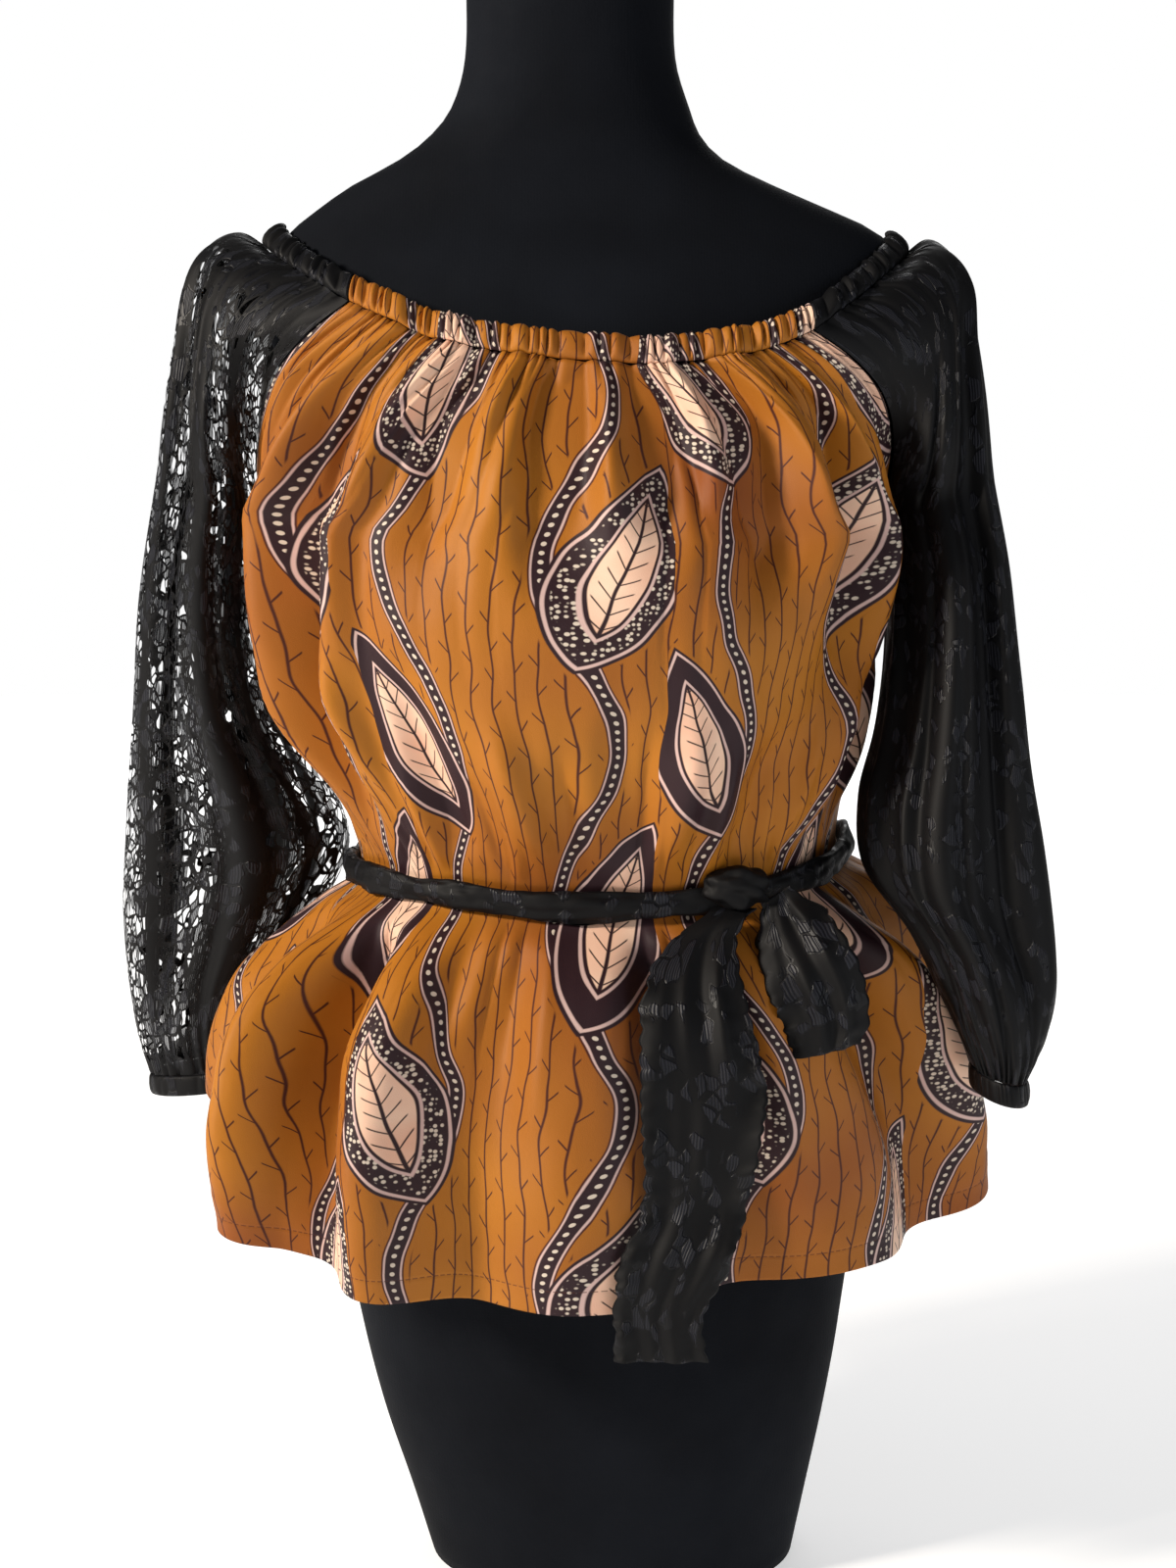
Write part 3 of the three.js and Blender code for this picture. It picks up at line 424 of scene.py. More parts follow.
# ---- finishes ----
class Wire:
    """One output in a coat's node tree. The usual signs join it to others and to numbers."""

    def __init__(self, tree, socket):
        self.tree = tree
        self.socket = socket

    def node(self, kind, settings, values, output=0):
        """Adds a node: its settings first, then the values or wires of its sockets."""
        made = self.tree.nodes.new(kind)
        for key, value in settings.items():
            setattr(made, key, value)
        for key, value in values.items():
            if isinstance(value, Wire):
                self.tree.links.new(value.socket, made.inputs[key])
            else:
                made.inputs[key].default_value = value
        return Wire(self.tree, made.outputs[output])

    def joined(self, operation, *values):
        """A step of arithmetic, on vectors where any of the values is one."""
        vectors = [value for value in values if isinstance(value, tuple)
                   or (isinstance(value, Wire) and value.socket.type != "VALUE")]
        if not vectors:
            return self.node("ShaderNodeMath", {"operation": operation}, dict(enumerate(values)))
        spread = [(value,) * 3 if isinstance(value, (int, float)) else value for value in values]
        return self.node("ShaderNodeVectorMath", {"operation": operation},
                         dict(enumerate(spread)))

    def sign(self, operation, *others):
        """A step of arithmetic that starts from this wire."""
        return self.joined(operation, self, *others)

    def __add__(self, other):
        return self.sign("ADD", other)

    __radd__ = __add__

    def __sub__(self, other):
        return self.sign("SUBTRACT", other)

    def __rsub__(self, other):
        return self.joined("SUBTRACT", other, self)

    def __mul__(self, other):
        return self.sign("MULTIPLY", other)

    __rmul__ = __mul__

    def __truediv__(self, other):
        return self.sign("DIVIDE", other)

    def __abs__(self):
        return self.sign("ABSOLUTE")

    def part(self, axis):
        """One of the three numbers of a vector or colour."""
        return self.node("ShaderNodeSeparateXYZ", {}, {0: self}, axis)

    def within(self, low, high):
        """Rises from 0 at low to 1 at high, and stays there; low may be the greater."""
        return self.node("ShaderNodeMapRange", {}, {"Value": self, "From Min": low,
                                                    "From Max": high})

    def line(self, half, soft=0.25):
        """1 on a line this far to each side of 0, and 0 off it."""
        return abs(self).within(half + soft, half - soft)

    def mix(self, low, high):
        """The colour low where this is 0, and high where it is 1."""
        return self.node("ShaderNodeMix", {"data_type": "RGBA"}, {0: self, 6: low, 7: high}, 2)

    def repeat(self, pitch):
        """The place in a repeat, from minus to plus half its pitch, and the repeat's number."""
        number = (self / pitch + 0.5).sign("FLOOR")
        return self - number * pitch, number

    def across(self, other):
        """The length of the diagonal of this and the other."""
        return (self * self + other * other).sign("SQRT")

    def noise(self, scale, detail=2.0, output=0):
        return self.node("ShaderNodeTexNoise", {}, {"Vector": self, "Scale": scale,
                                                    "Detail": detail}, output)

    def cells(self, scale, feature, output, randomness=1.0):
        return self.node("ShaderNodeTexVoronoi", {"feature": feature},
                         {"Vector": self, "Scale": scale, "Randomness": randomness}, output)

    def relief(self, strength, depth):
        """A bump this many metres deep, where this is 1."""
        return self.node("ShaderNodeBump", {}, {"Height": self, "Strength": strength,
                                                "Distance": depth})


class Coat:
    """A finish: its shader, and where a piece's own measures come from."""

    def __init__(self, name, colour, roughness):
        self.material = bpy.data.materials.new(name)
        self.material.use_nodes = True
        self.tree = self.material.node_tree
        self.shader = self.tree.nodes["Principled BSDF"]
        self.set("Base Color", (*colour, 1))
        self.set("Roughness", roughness)

    def start(self, kind, settings, output):
        return Wire(self.tree, None).node(kind, settings, {}, output)

    def set(self, name, value):
        if isinstance(value, Wire):
            self.tree.links.new(value.socket, self.shader.inputs[name])
        else:
            self.shader.inputs[name].default_value = value


def paint(red, green, blue):
    return (red, green, blue, 1)


def jersey_coat():
    """Tight knitted cover, matt blue-black."""
    coat = Coat("form_jersey", (0.008, 0.009, 0.013), 0.85)
    place = coat.start("ShaderNodeTexCoord", {}, "Object")
    worn = place.noise(9.0, 3.0).within(0.35, 0.7)
    coat.set("Base Color", worn.mix(paint(0.0018, 0.0025, 0.0045), paint(0.0046, 0.0060, 0.0095)))
    coat.set("Roughness", 0.78 + 0.12 * place.noise(60.0))
    knit = place.cells(620.0, "F1", "Distance", 0.35) + 0.5 * place.noise(260.0)
    coat.set("Normal", knit.relief(0.35, 0.0004))
    coat.set("Specular IOR Level", 0.12)
    return coat.material


LEAF = {"pitch": 78.0, "drop": 196.0, "length": 57.0, "width": 25.0, "off": 17.0, "tilt": 0.33}
VINE_SWING = 15.0       # how far a vine waves to each side
BEAD_PITCH = 5.0
VEIN_PITCH = 10.5       # fine lines of the ground, and the twigs on them
TWIG_PITCH = 31.0
RIB_PITCH = 8.5         # ribs of a leaf
STITCH_PITCH = 3.2
GROUND = paint(0.42, 0.148, 0.008)
# darker red-brown of the ground: partly the print's own mottle, partly painted shade of the folds
GROUND_SHADE_AND_MOTTLE = paint(0.235, 0.056, 0.007)
VEIN = paint(0.060, 0.010, 0.004)
MOTIF = paint(0.022, 0.0065, 0.010)
OUTLINE = paint(0.64, 0.44, 0.40)
HEART = paint(0.80, 0.46, 0.32)
HEART_LIGHT = paint(0.88, 0.62, 0.46)
DOT = paint(0.66, 0.56, 0.46)


def ankara_coat():
    """Wax print on plain-woven cotton: leaves on beaded vines over a fine ground of twigs. All
    its measures are millimetres on the flat cloth."""
    coat = Coat("ankara_cotton", (0.5, 0.19, 0.02), 0.6)
    flat = coat.start("ShaderNodeTexCoord", {}, "UV")
    hand = (flat.noise(24.0, 1.0, "Color") - 0.5) * 0.009
    drawn = (flat + hand) * 1000.0
    x, y = drawn.part(0), drawn.part(1)

    beside, column = x.repeat(LEAF["pitch"])
    odd = column.sign("FLOORED_MODULO", 2.0)
    side = 1.0 - 2.0 * odd
    along, row = (y + odd * (LEAF["drop"] * 0.5)).repeat(LEAF["drop"])
    beside = beside * side
    tilt = LEAF["tilt"]
    leaf_up = (beside - LEAF["off"]) * math.sin(tilt) + along * math.cos(tilt)
    leaf_out = (beside - LEAF["off"]) * math.cos(tilt) - along * math.sin(tilt)
    leaf_out = leaf_out * (1.0 + 0.0055 * leaf_up)
    radius = (LEAF["length"] ** 2 + LEAF["width"] ** 2) / (2 * LEAF["width"])
    edge = (abs(leaf_out) + (radius - LEAF["width"])).across(leaf_up) - radius
    vine = beside + VINE_SWING * (along * (2 * math.pi / LEAF["drop"])).sign("COSINE")
    bead = y.repeat(BEAD_PITCH)[0]

    stray = flat.noise(7.0, 1.0) * 26.0
    ground_x, vein_number = (x + stray).repeat(VEIN_PITCH)
    own = (vein_number * 12.9).sign("SINE") * 37.0
    twig_side = ground_x.sign("SIGN")
    twig = (y + own + abs(ground_x) * -1.5 + twig_side * 8.0).repeat(TWIG_PITCH)[0]
    veins = ground_x.line(0.48)
    twigs = twig.line(0.6) * abs(ground_x).within(4.2, 3.8)
    clear = edge.within(3.0, 4.0) * abs(vine).within(7.0, 8.0)
    lines = veins.sign("MAXIMUM", twigs) * clear

    # Painted shade: large patches of darker red-brown ground laid by noise, partly the print's own
    # mottle and partly painted shade of the cotton's folds.
    shade_and_mottle = flat.noise(4.5, 2.0).within(0.42, 0.66)
    colour = shade_and_mottle.mix(GROUND, GROUND_SHADE_AND_MOTTLE)
    colour = lines.mix(colour, VEIN)
    colour = vine.line(5.2).mix(colour, VEIN)
    colour = vine.line(4.4).mix(colour, OUTLINE)
    colour = vine.line(3.5).mix(colour, MOTIF)
    colour = vine.across(bead).within(1.35, 1.0).mix(colour, DOT)

    dotted = (row + column).sign("FLOORED_MODULO", 2.0)
    grain = flat.cells(360.0, "F1", "Distance", 0.55)
    pebble = grain.within(0.44, 0.30) * edge.within(-2.6, -3.2) * dotted
    rib = (leaf_up - abs(leaf_out) * 0.9).repeat(RIB_PITCH)[0]
    ribs = rib.line(0.45) * abs(leaf_out).within(8.5, 7.5)
    ribs = ribs.sign("MAXIMUM", leaf_out.line(0.8))
    heart = flat.noise(30.0, 2.0).within(0.3, 0.7).mix(HEART, HEART_LIGHT)
    heart = ribs.mix(heart, MOTIF)
    colour = edge.within(1.9, 1.4).mix(colour, MOTIF)
    colour = edge.within(0.4, -0.1).mix(colour, OUTLINE)
    colour = edge.within(-1.0, -1.5).mix(colour, MOTIF)
    colour = pebble.mix(colour, DOT)
    colour = edge.within(-10.2, -10.7).mix(colour, OUTLINE)
    colour = edge.within(-11.6, -12.1).mix(colour, MOTIF)
    colour = edge.within(-13.0, -13.5).mix(colour, heart)

    plain = flat * 1000.0
    above_hem = plain.part(1) - float(HEM_FOLD)
    along_hem = plain.part(0).repeat(STITCH_PITCH)[0]
    stitches = above_hem.line(0.3) * abs(along_hem).within(1.2, 1.0)
    colour = (stitches * 0.75).mix(colour, VEIN)
    coat.set("Base Color", colour)
    coat.set("Roughness", 0.50 + 0.16 * flat.noise(40.0))
    weave = plain.noise(2.6, 1.0) * 0.35 + flat.noise(90.0, 3.0) * 0.5
    hem = above_hem.line(0.9, 0.7)
    coat.set("Normal", (weave - hem * 0.5).relief(0.55, 0.0007))
    coat.set("Specular IOR Level", 0.30)
    coat.set("Sheen Weight", 0.04)
    coat.set("Sheen Roughness", 0.35)
    return coat.material


LACE_CELLS = 150.0      # cells to a metre


def lace_coat():
    """Black corded lace: leaf sprays of ribbed net between open cells. A piece's mark says how
    closed the lace is, 1 where it lies doubled, and over most of the left sleeve, where the closed
    lace is painted shade for the sleeve's dark inside."""
    coat = Coat("black_lace", (0.005, 0.005, 0.008), 0.45)
    flat = coat.start("ShaderNodeTexCoord", {}, "UV")
    closed = coat.start("ShaderNodeAttribute", {"attribute_name": "mark"}, "Fac")
    bent = flat + (flat.noise(70.0, 1.0, "Color") - 0.5) * 0.009
    stretched = bent * (1.0, 0.62, 1.0)
    cord = stretched.cells(LACE_CELLS, "DISTANCE_TO_EDGE", "Distance")
    tone = stretched.cells(LACE_CELLS, "F1", "Color")
    chance, turn = tone.part(0), tone.part(1)
    cords = cord.within(0.105, 0.065)
    spray = flat.noise(26.0, 1.0) * 0.5
    leaf = (chance + spray).within(0.6, 0.54)
    petal = (chance + spray - closed * 0.9).within(0.53, 0.51)
    ribs = flat.node(
        "ShaderNodeTexWave", {"wave_type": "BANDS"},
        {"Vector": flat * (1.0, 0.4, 0.0) + turn * 0.4, "Scale": 190.0, "Distortion": 3.0}, 1)
    net = 0.62 + 0.3 * ribs + closed * 0.4
    coat.set("Alpha", cords.sign("MAXIMUM", petal * net).sign("MINIMUM", 1.0))
    # Painted sheen: the leaves are lighter in the base colour, most on their ribs and least at the
    # cords, for the grey glint of the black lace; the same lightness lets the leaf motif show
    # against the net.
    motif_and_sheen = leaf * (0.6 + 0.4 * turn) * (0.3 + 0.7 * ribs) * (1 - 0.85 * cords)
    coat.set("Base Color", motif_and_sheen.mix(paint(0.0009, 0.0009, 0.0015), paint(0.019, 0.020, 0.027)))
    coat.set("Roughness", 0.62 - 0.2 * leaf)
    coat.set("Specular IOR Level", 0.2)
    coat.set("Normal", (leaf * (1 - 0.8 * cords) * (0.8 + ribs * 0.3)).relief(0.7, 0.0010))
    return coat.material


def floor_coat():
    """Matt white paper, lit a little so that it meets the backdrop."""
    coat = Coat("pale_floor", (0.86, 0.86, 0.86), 0.9)
    coat.set("Emission Color", paint(1, 1, 1))
    coat.set("Emission Strength", 0.5)
    return coat.material


jersey = jersey_coat()
ankara = ankara_coat()
lace = lace_coat()


# ---- dress form ----
def dress_form():
    def place(across, along):
        z = lerp(0, 899, along)
        if z > 894:
            rounding = math.sqrt(max(0.0, 1 - ((z - 894) / 6) ** 2))
            ring = form_point(2 * math.pi * across, 894)
            centre = Vector((FORM.at("shift", 894), 4, 0))
            point = centre + (ring - centre) * (0.9 + 0.1 * rounding)
            point.z = z
        else:
            point = form_point(2 * math.pi * across, z)
        return point, (across, along), 0
    bm = closed_up(laid_grid(96, 130, place), fill=True)
    form = finish_piece("dress_form", bm, jersey, ["form_body"])
    return form


# ---- panels ----
# Rows of a panel: closer where the cloth is gathered.
ROWS = Table("share level", [
    (0, 182), (0.04, 190), (0.28, 330), (0.42, 388), (0.50, 408), (0.62, 470), (0.78, 600),
    (0.90, 668), (1, 700),
])


def panel(side, columns, rows):
    turn = 1 if side == "front" else -1

    def place(across, along):
        u = turn * (2 * across - 1)
        level = TOP if along == 1 else clamp(ROWS.at("level", along), HEM_LEVEL, TOP - 0.01)
        point, out = body_point(side, u, level)
        pattern = (u * FLAT.at("half", level) * MM, level * MM)
        return point, pattern, smooth(HEM_FOLD, level + 1.5, level - 1.5)

    piece = finish_piece(side + "_panel", laid_grid(columns, rows, place), ankara, [side])
    return walled(piece, COTTON)


# ---- sleeves ----
# Sections from the top edge to the cuff. The outer line runs over the shoulder and down the arm.
# The inner line is the raglan seam at the given level down to the underarm, then the underarm seam.
SLEEVES = {
    "right": Table("row outer_x outer_y outer_z level inner_x inner_y inner_z depth bulge", [
        (0, 177, 0, 750, 700, 182, 0, 602, 30, 6), (1, 190, 2, 757, 688, 182, 0, 602, 42, 8),
        (2, 203, 4, 752, 672, 182, 0, 602, 54, 8), (3, 212, 6, 736, 655, 182, 0, 602, 62, 7),
        (4, 218, 9, 708, 638, 182, 0, 602, 66, 5), (5, 226, 13, 674, 620, 182, 0, 602, 66, 2),
        (6, 235, 19, 632, 600, 182, 0, 602, 62, 0), (7, 245, 29, 585, 600, 186, 14, 570, 61, 0),
        (8, 253, 39, 536, 600, 184, 25, 528, 60, 0), (9, 260, 48, 482, 600, 174, 37, 485, 58, 0),
        (10, 267, 57, 430, 600, 151, 48, 447, 54, 0), (11, 273, 64, 382, 600, 139, 58, 406, 47, 0),
        (12, 273, 68, 342, 600, 160, 70, 360, 41, 0), (13, 271, 70, 310, 600, 180, 72, 326, 37, 0),
        (14, 268, 71, 284, 600, 189, 72, 297, 33, 0), (15, 263, 72, 263, 600, 192, 72, 271, 23, 0),
    ]),
    "left": Table("row outer_x outer_y outer_z level inner_x inner_y inner_z depth bulge", [
        (0, 180, 0, 746, 700, 167, 0, 602, 30, 6), (1, 191, 0, 753, 688, 167, 0, 602, 42, 8),
        (2, 200, -1, 747, 672, 167, 0, 602, 52, 8), (3, 207, -3, 731, 655, 167, 0, 602, 58, 7),
        (4, 210, -6, 704, 638, 167, 0, 602, 60, 5), (5, 216, -12, 664, 620, 167, 0, 602, 58, 2),
        (6, 223, -20, 620, 600, 167, 0, 602, 52, 0), (7, 230, -34, 571, 600, 171, -16, 570, 52, 0),
        (8, 235, -47, 519, 600, 168, -31, 529, 51, 0),
        (9, 240, -59, 470, 600, 160, -46, 484, 49, 0),
        (10, 247, -69, 424, 600, 150, -60, 449, 46, 0),
        (11, 251, -77, 386, 600, 152, -70, 412, 42, 0),
        (12, 253, -82, 352, 600, 176, -78, 378, 39, 0),
        (13, 251, -85, 327, 600, 192, -82, 346, 37, 0),
        (14, 246, -86, 311, 600, 203, -85, 323, 35, 0),
        (15, 240, -86, 299, 600, 211, -86, 305, 31, 0),
    ]),
}
UNDERARM_ROW = 6
CUFF_ROW = 15
CAP_SHARE = 0.62        # share of the half circle that a section of the cap covers at the top

# Long soft folds of a sleeve: place round the half section, first and last row, width and height.
SLEEVE_FOLDS = Table("place first last width height", [
    (0.16, 2, 14, 0.07, 5), (0.36, 3, 13, 0.08, -6), (0.55, 5, 14, 0.07, 5),
    (0.78, 7, 14, 0.08, -5),
]).records()
SLEEVE_CREASES = Table("place first last width height", [
    (0.07, 1, 11, 0.020, -2.6), (0.24, 0, 9, 0.022, 2.8), (0.30, 6, 14, 0.020, -2.6),
    (0.45, 1, 10, 0.022, 2.6), (0.50, 8, 15, 0.020, -2.8), (0.64, 3, 13, 0.022, -2.8),
    (0.70, 8, 15, 0.020, 2.6), (0.88, 5, 13, 0.020, 2.2),
]).records()


def sleeve_point(wearer, face, row, place, plain=False):
    sections = SLEEVES[wearer]
    side = -1 if wearer == "right" else 1
    facing = -1 if face == "front" else 1
    outer = Vector((side * sections.at("outer_x", row), sections.at("outer_y", row),
                    sections.at("outer_z", row)))
    cap = row < UNDERARM_ROW
    if cap:
        inner, out = body_point(face, side, sections.at("level", row), plain=True)
        inner = inner + out * 0.9
        inner.x += side * 0.6
    else:
        inner = Vector((side * (sections.at("inner_x", row) + 0.6), sections.at("inner_y", row),
                        sections.at("inner_z", row)))
    share = lerp(CAP_SHARE, 1, (row / UNDERARM_ROW) ** 2) if cap else 1
    end = share * math.pi
    angle = place * end
    across = (1 - math.cos(angle)) / (1 - math.cos(end))
    swell = math.sin(angle) - math.sin(end) * across
    point = outer.lerp(inner, across)
    point.x += side * sections.at("bulge", row) * swell
    point.y += facing * sections.at("depth", row) * swell
    middle = outer.lerp(inner, 0.5)
    out = Vector((point.x - middle.x, point.y - middle.y, 0)).normalized()
    height = 0.0
    for fold in SLEEVE_FOLDS:
        along = (row - fold["first"]) / (fold["last"] - fold["first"])
        fade = smooth(along, -0.1, 0.25) * (1 - smooth(along, 0.75, 1.05))
        height += 1.3 * fold["height"] * fade * bell((place - fold["place"]) / fold["width"])
    if plain:
        height = height if row else 0
        at_seam = smooth(min(place, 1 - place), 0, 0.1)
    else:
        for fold in SLEEVE_CREASES:
            along = (row - fold["first"]) / (fold["last"] - fold["first"])
            fade = smooth(along, -0.1, 0.3) * (1 - smooth(along, 0.6, 1.05))
            height += 1.6 * fold["height"] * fade * bell((place - fold["place"]) / fold["width"])
        phase = gather_phase(GATHERS["sleeve"], place)
        number = math.floor(phase)
        puff = abs(math.sin(math.pi * phase)) ** 0.8 - 0.6
        height += 3.0 * puff * math.exp(-(row / (0.9 + 0.6 * math.sin(number * 2.2) ** 2)) ** 1.5)
        drawn = CUFF_ROW - row
        height += 3.4 * puff * math.exp(-(drawn / (1.5 + math.sin(number * 3.1) ** 2)) ** 1.5)
        height += 1.6 * noise.noise(Vector((place * 5, row * 0.7, facing * 3 + side * 9)))
        at_seam = smooth(1 - place, 0, 0.08)
    if row == 0:
        up, away = edge_frame(point)
        return point + away * (height * at_seam)
    return clear_of_form(point + out * (height * at_seam), FORM_GAP + 2.6)


def sleeve_along(wearer):
    """The length of cloth from the top edge down to each row, in metres, along the sleeve."""
    table = SLEEVES[wearer]
    lengths = [(0, 0)]
    for n in range(1, len(table.rows)):
        step = Vector(table.rows[n][1:4]) - Vector(table.rows[n - 1][1:4])
        lengths.append((n, lengths[-1][1] + step.length * MM))
    return Table("row length", lengths)


SLEEVE_HALF_WIDTH = 0.20   # half of the sleeve's flat width

# Bands where a sleeve's lace is closed: place, first and last row, width. On the right sleeve they
# follow folds that lie doubled; on the left one broad band closes the lace over nearly the whole
# sleeve, a solid black sheet as painted shade for the sleeve's dark inside.
DOUBLED_AND_SHADED = {
    "right": Table("place first last width", [
        (0.24, -2, 15, 0.022), (0.55, -2, 17, 0.075), (0.79, -2, 16, 0.022),
    ]).records(),
    # left: painted shade, the whole sleeve closed to solid black for its dark inside
    "left": Table("place first last width", [(0.5, -6, 20, 1.1)]).records(),
}


def sleeve_closed(wearer, face, row, place):
    closed = 0.0
    for fold in DOUBLED_AND_SHADED[wearer]:
        along = (row - fold["first"]) / (fold["last"] - fold["first"])
        swing = 0.02 * math.sin(row * 0.7 + fold["place"] * 9)
        closed += (1 - smooth(abs(along - 0.5), 0.35, 0.5)) * bell(
            (place + swing - fold["place"]) / fold["width"])
    top = 1 - smooth(row, 0.4, 3.2)
    return clamp(max(closed, top * 0.9, smooth(row, 14, 15)))


def sleeve(wearer, columns, rows):
    lengths = sleeve_along(wearer)

    def place(across, along):
        turn = 2 * across - 1 if wearer == "left" else 1 - 2 * across
        face = "front" if turn < 0 else "back"
        row = CUFF_ROW * (1 - along)
        point = sleeve_point(wearer, face, row, abs(turn))
        pattern = (turn * SLEEVE_HALF_WIDTH, -lengths.at("length", row))
        return point, pattern, sleeve_closed(wearer, face, row, abs(turn))

    piece = finish_piece("sleeve_" + wearer, laid_grid(columns, rows, place), lace,
                         ["sleeve_" + wearer + "_front", "sleeve_" + wearer + "_back"])
    return piece


# ---- elastic casings ----
def casing_section(around):
    """How far up a casing, from 0 to 1, and how far out of it, a point round its section lies."""
    turn = 2 * math.pi * around
    return 0.5 - 0.5 * signed_power(math.cos(turn), 0.7), signed_power(math.sin(turn), 0.75)


def casing_point(point, around, puff):
    """Round the section of a casing that stands on an edge point."""
    up, out = edge_frame(point)
    low = 0.45
    high = low + CASING_HEIGHT + 2.2 * puff
    lift, bulge = casing_section(around)
    thick = CASING_THICK / 2
    outside = thick + 1.0 + 4.4 * puff * math.sin(math.pi * clamp(lift)) ** 0.5
    away = bulge * (outside if bulge > 0 else thick)
    spot = point + up * lerp(low, high, lift) + out * away
    return clear_of_form(spot, FORM_GAP + 0.2 + (thick if bulge > 0 else 0))


def casing(name, path, flat, columns, coat, replaced):
    """A gathered casing along path(share), which gives the edge point and the gather's phase."""
    def place(across, along):
        point, phase = path(along)
        number = math.floor(phase)
        puff = abs(math.sin(math.pi * phase)) ** 0.7 - 0.55
        size = 0.85 + 0.45 * math.sin(number * 3.3)
        lean = 0.06 * math.sin(number * 5.7)
        spot = casing_point(point, across, puff * size)
        lift = 0.5 - 0.5 * math.cos(2 * math.pi * across)
        pattern = (flat[0] * (along - 0.5 + lean * lift * 0.02), flat[1] + 0.017 * lift)
        return spot, pattern, 1
    bm = closed_up(laid_grid(20, columns, place), fill=True)
    piece = finish_piece(name, bm, coat, replaced)
    return piece


def panel_casing(side):
    turn = 1 if side == "front" else -1
    width = 2 * turn * FLAT.at("half", TOP) * MM

    def path(share):
        u = turn * (2 * share - 1)
        point = body_point(side, u, TOP, plain=True)[0]
        return point, gather_phase(GATHERS[side], (u + 1) / 2)

    return casing("casing_" + side, path, (width, TOP * MM), GATHERS[side] * 12, ankara,
                  ["neck_casing_" + side])


def sleeve_casing(wearer):
    def path(share):
        turn = 2 * share - 1
        point = sleeve_point(wearer, "front" if turn < 0 else "back", 0, abs(turn), plain=True)
        return point, gather_phase(GATHERS["sleeve"], abs(turn)) * (1 if turn > 0 else -1)

    return casing("casing_sleeve_" + wearer, path, (0.34, 0), GATHERS["sleeve"] * 20, lace,
                  ["neck_casing_sleeve_" + wearer])


def cuff(wearer):
    def edge(turn, row=CUFF_ROW):
        return sleeve_point(wearer, "front" if turn < 0 else "back", row, abs(turn), plain=True)

    ring = [edge(2 * n / 24 - 1) for n in range(24)]
    middle = sum(ring, Vector()) / len(ring)
    above = (edge(0, CUFF_ROW - 1) + edge(1, CUFF_ROW - 1)) / 2
    here = (edge(0) + edge(1)) / 2
    down = (here - above).normalized()

    def place(across, along):
        turn = 2 * along - 1
        point = edge(turn)
        out = point - middle
        out = (out - down * out.dot(down)).normalized()
        phase = gather_phase(GATHERS["cuff"], abs(turn))
        puff = (abs(math.sin(math.pi * phase)) ** 0.7 - 0.55) * (0.8 + 0.3 * math.sin(phase))
        lift, bulge = casing_section(across)
        thick = CUFF_THICK / 2
        away = bulge * (thick + 1.3 * puff * math.sin(math.pi * clamp(lift)) ** 0.5 if bulge > 0
                        else thick)
        spot = point + down * lerp(0.6, CUFF_HEIGHT, lift) + out * away
        return spot, (along * 0.3, across * 0.03), 1

    bm = closed_up(laid_grid(16, GATHERS["cuff"] * 16, place))
    piece = finish_piece("wrist_cuff_" + wearer, bm, lace, ["cuff_" + wearer])
    return piece


# ---- sash ----
SASH_THICK = 7.5
SASH_HALF = 7.4
SASH_CLEAR = 1


def sash_band():
    def place(across, along):
        turn = 4 * along
        if turn < 2:
            side, u = "front", turn - 1
        else:
            side, u = "back", 3 - turn
        point, out = body_point(side, clamp(u, -1, 1), WAIST, plain=True)
        around = 2 * math.pi * across
        swell = 1 + 0.10 * math.sin(along * 82) + 0.08 * math.sin(along * 31)
        rolled = 0.9 * math.sin(3 * around + along * 60) + 0.5 * math.sin(7 * around - along * 95)
        ruffle = 0.8 * noise.noise(Vector((across * 9, along * 90, 3)))
        lift = -math.cos(around) * (SASH_HALF + rolled * 0.5 + ruffle) * swell
        away = SASH_CLEAR + 0.3 + (SASH_THICK + rolled * 0.6 + ruffle) * swell * (
            0.5 + 0.5 * signed_power(math.sin(around), 0.8))
        spot = point + out * away
        spot.z += lift
        return spot, (along * 0.86, across * 0.05), 0.95

    bm = closed_up(laid_grid(28, 640, place))
    piece = finish_piece("sash_round_waist", bm, lace, ["sash_band"])
    return piece


KNOT = {"x": 82, "z": 405, "width": 32, "height": 21, "depth": 15, "seat": 8.7}


def peplum_front(x, z):
    """The front panel's surface straight in front of a point of the waist or peplum."""
    last = None
    for n in range(71):
        u = lerp(-0.4, 1, n / 70)
        level = min(z, WAIST)
        for _ in range(8 if z < WAIST else 0):
            level = clamp(z - edge_rise("front", u, level), HEM_LEVEL, WAIST)
        point = body_point("front", u, round(level, 1), plain=True)[0]
        if last and last.x <= x < point.x:
            return lerp(last.y, point.y, (x - last.x) / (point.x - last.x))
        last = point
    return last.y


def knot_centre():
    y = peplum_front(KNOT["x"], WAIST) - KNOT["seat"] - KNOT["depth"] / 2
    return Vector((KNOT["x"], y, KNOT["z"]))


# The ends of the sash from the knot down, with their edges by height; drop tilts a row.
LONG_END = Table("z left right drop", [
    (167, 18, 63, 0), (192, 17, 62, 0), (219, 20, 76, 0), (246, 32, 84, 0), (273, 32, 90, 0),
    (303, 31, 93, 0), (334, 31, 88, 0), (360, 34, 82, 0), (380, 47, 80, 1), (388, 58, 84, 2),
    (394.2, 70, 92, 0),
])
SHORT_END = Table("z left right drop", [
    (322, 113, 144, 4), (332, 109, 149, 6), (348, 105, 147, 10), (366, 98, 138, 14),
    (384, 93, 126, 11), (394, 95, 116, 7), (402, 97.5, 109, 4),
])
END_GAP = 6.5


def hanging_line(end):
    """How far forward the end hangs at each height: it never comes nearer the cloth again."""
    hang = knot_centre().y
    line = []
    for z, left, right, _ in reversed(end.rows):
        heights = (z - 9, z, z + 9)
        cloth = min(peplum_front(lerp(left, right, n / 6), max(height, HEM_LEVEL + 6))
                    for n in range(7) for height in heights)
        hang = min(hang, cloth - END_GAP)
        line.append((z, hang))
    return Table("z y", line[::-1])


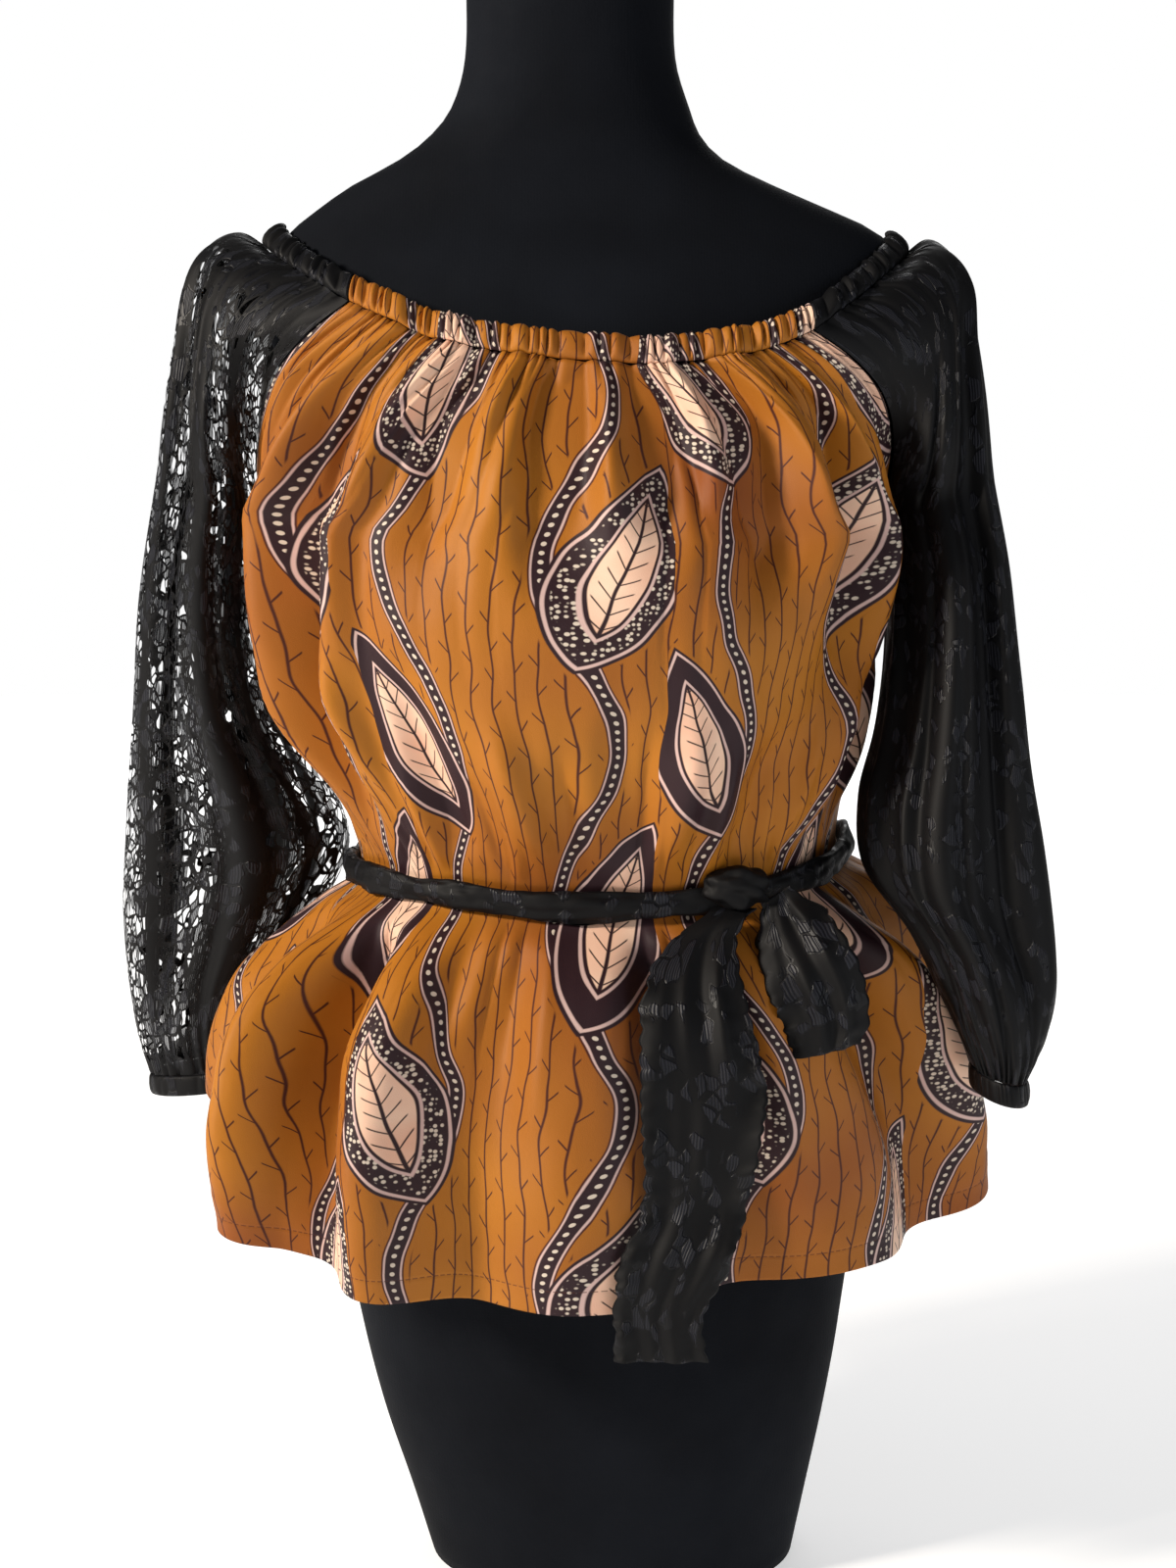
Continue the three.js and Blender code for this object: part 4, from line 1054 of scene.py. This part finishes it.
def sash_end(name, end, ripple, swell, columns, rows, flat, replaced):
    line = hanging_line(end)
    low, high = end.keys[0], end.keys[-1]

    def place(across, along):
        z = lerp(low, high, along)
        fade = smooth(along, 1, 0.8) if along > 0.8 else 1
        middle = 1 - (2 * across - 1) ** 2
        wave = math.sin(across * 12.6 + (1 - along) * 9) * (1 - 0.4 * middle) - 1
        ruffled = noise.noise(Vector((across * 1.5, z / 11, 4)))
        frill = abs(2 * across - 1) ** 3 * 4.2 * ruffled
        crease = 3.4 * noise.noise(Vector((across * 6, z / 70, 11))) - 1.7
        y = line.at("y", z) + fade * (wave * ripple - swell * middle + frill + crease)
        width = end.at("right", z) - end.at("left", z)
        scallop = abs(math.sin(z / 2.9 + 2 * ruffled)) * 1.6 + 2.2 * ruffled
        edge = scallop * abs(2 * across - 1) ** 3 * (1 if across > 0.5 else -1)
        x = end.at("left", z) + width * across + edge
        z += end.at("drop", z) * (2 * across - 1)
        return Vector((x, y, z)), (across * flat[0], along * flat[1]), 1.5

    piece = finish_piece(name, laid_grid(columns, rows, place), lace, replaced)
    return walled(piece, 1.2)


def sash_knot():
    bm = bmesh.new()
    bmesh.ops.create_uvsphere(bm, u_segments=72, v_segments=48, radius=1, calc_uvs=True)
    centre = knot_centre()
    for vert in bm.verts:
        x, y, z = vert.co
        lump = 1.10 + 0.09 * math.sin(5 * x + 3 * y) * math.cos(4 * z)
        wrap = 0.09 * math.sin(7 * (z + 0.6 * x) + 2 * x * x) + 0.08 * noise.noise(vert.co * 3)
        grow = lump + wrap
        vert.co = (centre + Vector((x * KNOT["width"] / 2, y * KNOT["depth"] / 2,
                                    z * KNOT["height"] / 2)) * grow) * MM
    mark = bm.verts.layers.float.new("mark")
    for vert in bm.verts:
        vert[mark] = 1
    piece = finish_piece("knot_of_sash", bm, lace, ["sash_knot"])
    return piece


# ---- putting it together ----
form = dress_form()
front = panel("front", 336, 120)
back = panel("back", 256, 120)
sleeves = {wearer: sleeve(wearer, 224, 150) for wearer in SLEEVES}
casing_front = panel_casing("front")
casing_back = panel_casing("back")
casings = {wearer: sleeve_casing(wearer) for wearer in SLEEVES}
cuffs = {wearer: cuff(wearer) for wearer in SLEEVES}
band = sash_band()
knot = sash_knot()
long_end = sash_end("sash_long_end", LONG_END, 1.6, 0, 40, 150, (0.06, 0.24), ["sash_end_long"])
short_end = sash_end("sash_short_end", SHORT_END, 0.8, 4, 30, 60, (0.04, 0.09),
                     ["sash_end_short"])


# ---- stage, light and camera ----
def floor():
    bm = bmesh.new()
    bmesh.ops.create_circle(bm, cap_ends=True, segments=96, radius=6)
    mesh = bpy.data.meshes.new("floor")
    bm.to_mesh(mesh)
    bm.free()
    piece = bpy.data.objects.new("floor", mesh)
    mesh.materials.append(floor_coat())
    bpy.context.scene.collection.objects.link(piece)


def lamp(name, place, aim, size, power, colour):
    light = bpy.data.lights.new(name, "AREA")
    light.size = size
    light.energy = power
    light.color = colour
    lamp_object = bpy.data.objects.new(name, light)
    lamp_object.location = place
    lamp_object.rotation_euler = (Vector(aim) - Vector(place)).to_track_quat("-Z", "Y").to_euler()
    bpy.context.scene.collection.objects.link(lamp_object)


def camera():
    lens = bpy.data.cameras.new("camera")
    lens.sensor_fit = "VERTICAL"
    lens.angle_y = 2 * math.atan(0.32)
    eye = bpy.data.objects.new("camera", lens)
    aim = Vector((0.0028, 0, 0.448))
    eye.location = aim + Vector((0, -math.cos(math.radians(7)), math.sin(math.radians(7)))) * 1.4
    eye.rotation_euler = (aim - eye.location).to_track_quat("-Z", "Y").to_euler()
    bpy.context.scene.collection.objects.link(eye)
    bpy.context.scene.camera = eye


def studio():
    """A white backdrop that lights the piece less than it shows."""
    world = bpy.data.worlds.new("studio")
    bpy.context.scene.world = world
    world.use_nodes = True
    seen = Wire(world.node_tree, None).node("ShaderNodeLightPath", {}, {}, "Is Camera Ray")
    backdrop = world.node_tree.nodes["Background"]
    backdrop.inputs["Color"].default_value = (1, 1, 1, 1)
    world.node_tree.links.new((0.15 + 0.85 * seen).socket, backdrop.inputs["Strength"])


floor()
lamp("key", (-2.1, -1.15, 1.55), (0, 0, 0.5), 0.4, 84, (1, 0.91, 0.80))
lamp("fill", (1.7, -1.3, 0.8), (0, 0, 0.45), 0.9, 7, (0.90, 0.94, 1))
lamp("back", (0.3, 1.9, 1.6), (0, 0, 0.5), 1.2, 14, (1, 1, 1))
lamp("backdrop", (0, 4.6, 1.5), (0, 4.6, 0), 4, 60, (1, 1, 1))
camera()
studio()
bpy.context.scene.view_settings.view_transform = "Standard"
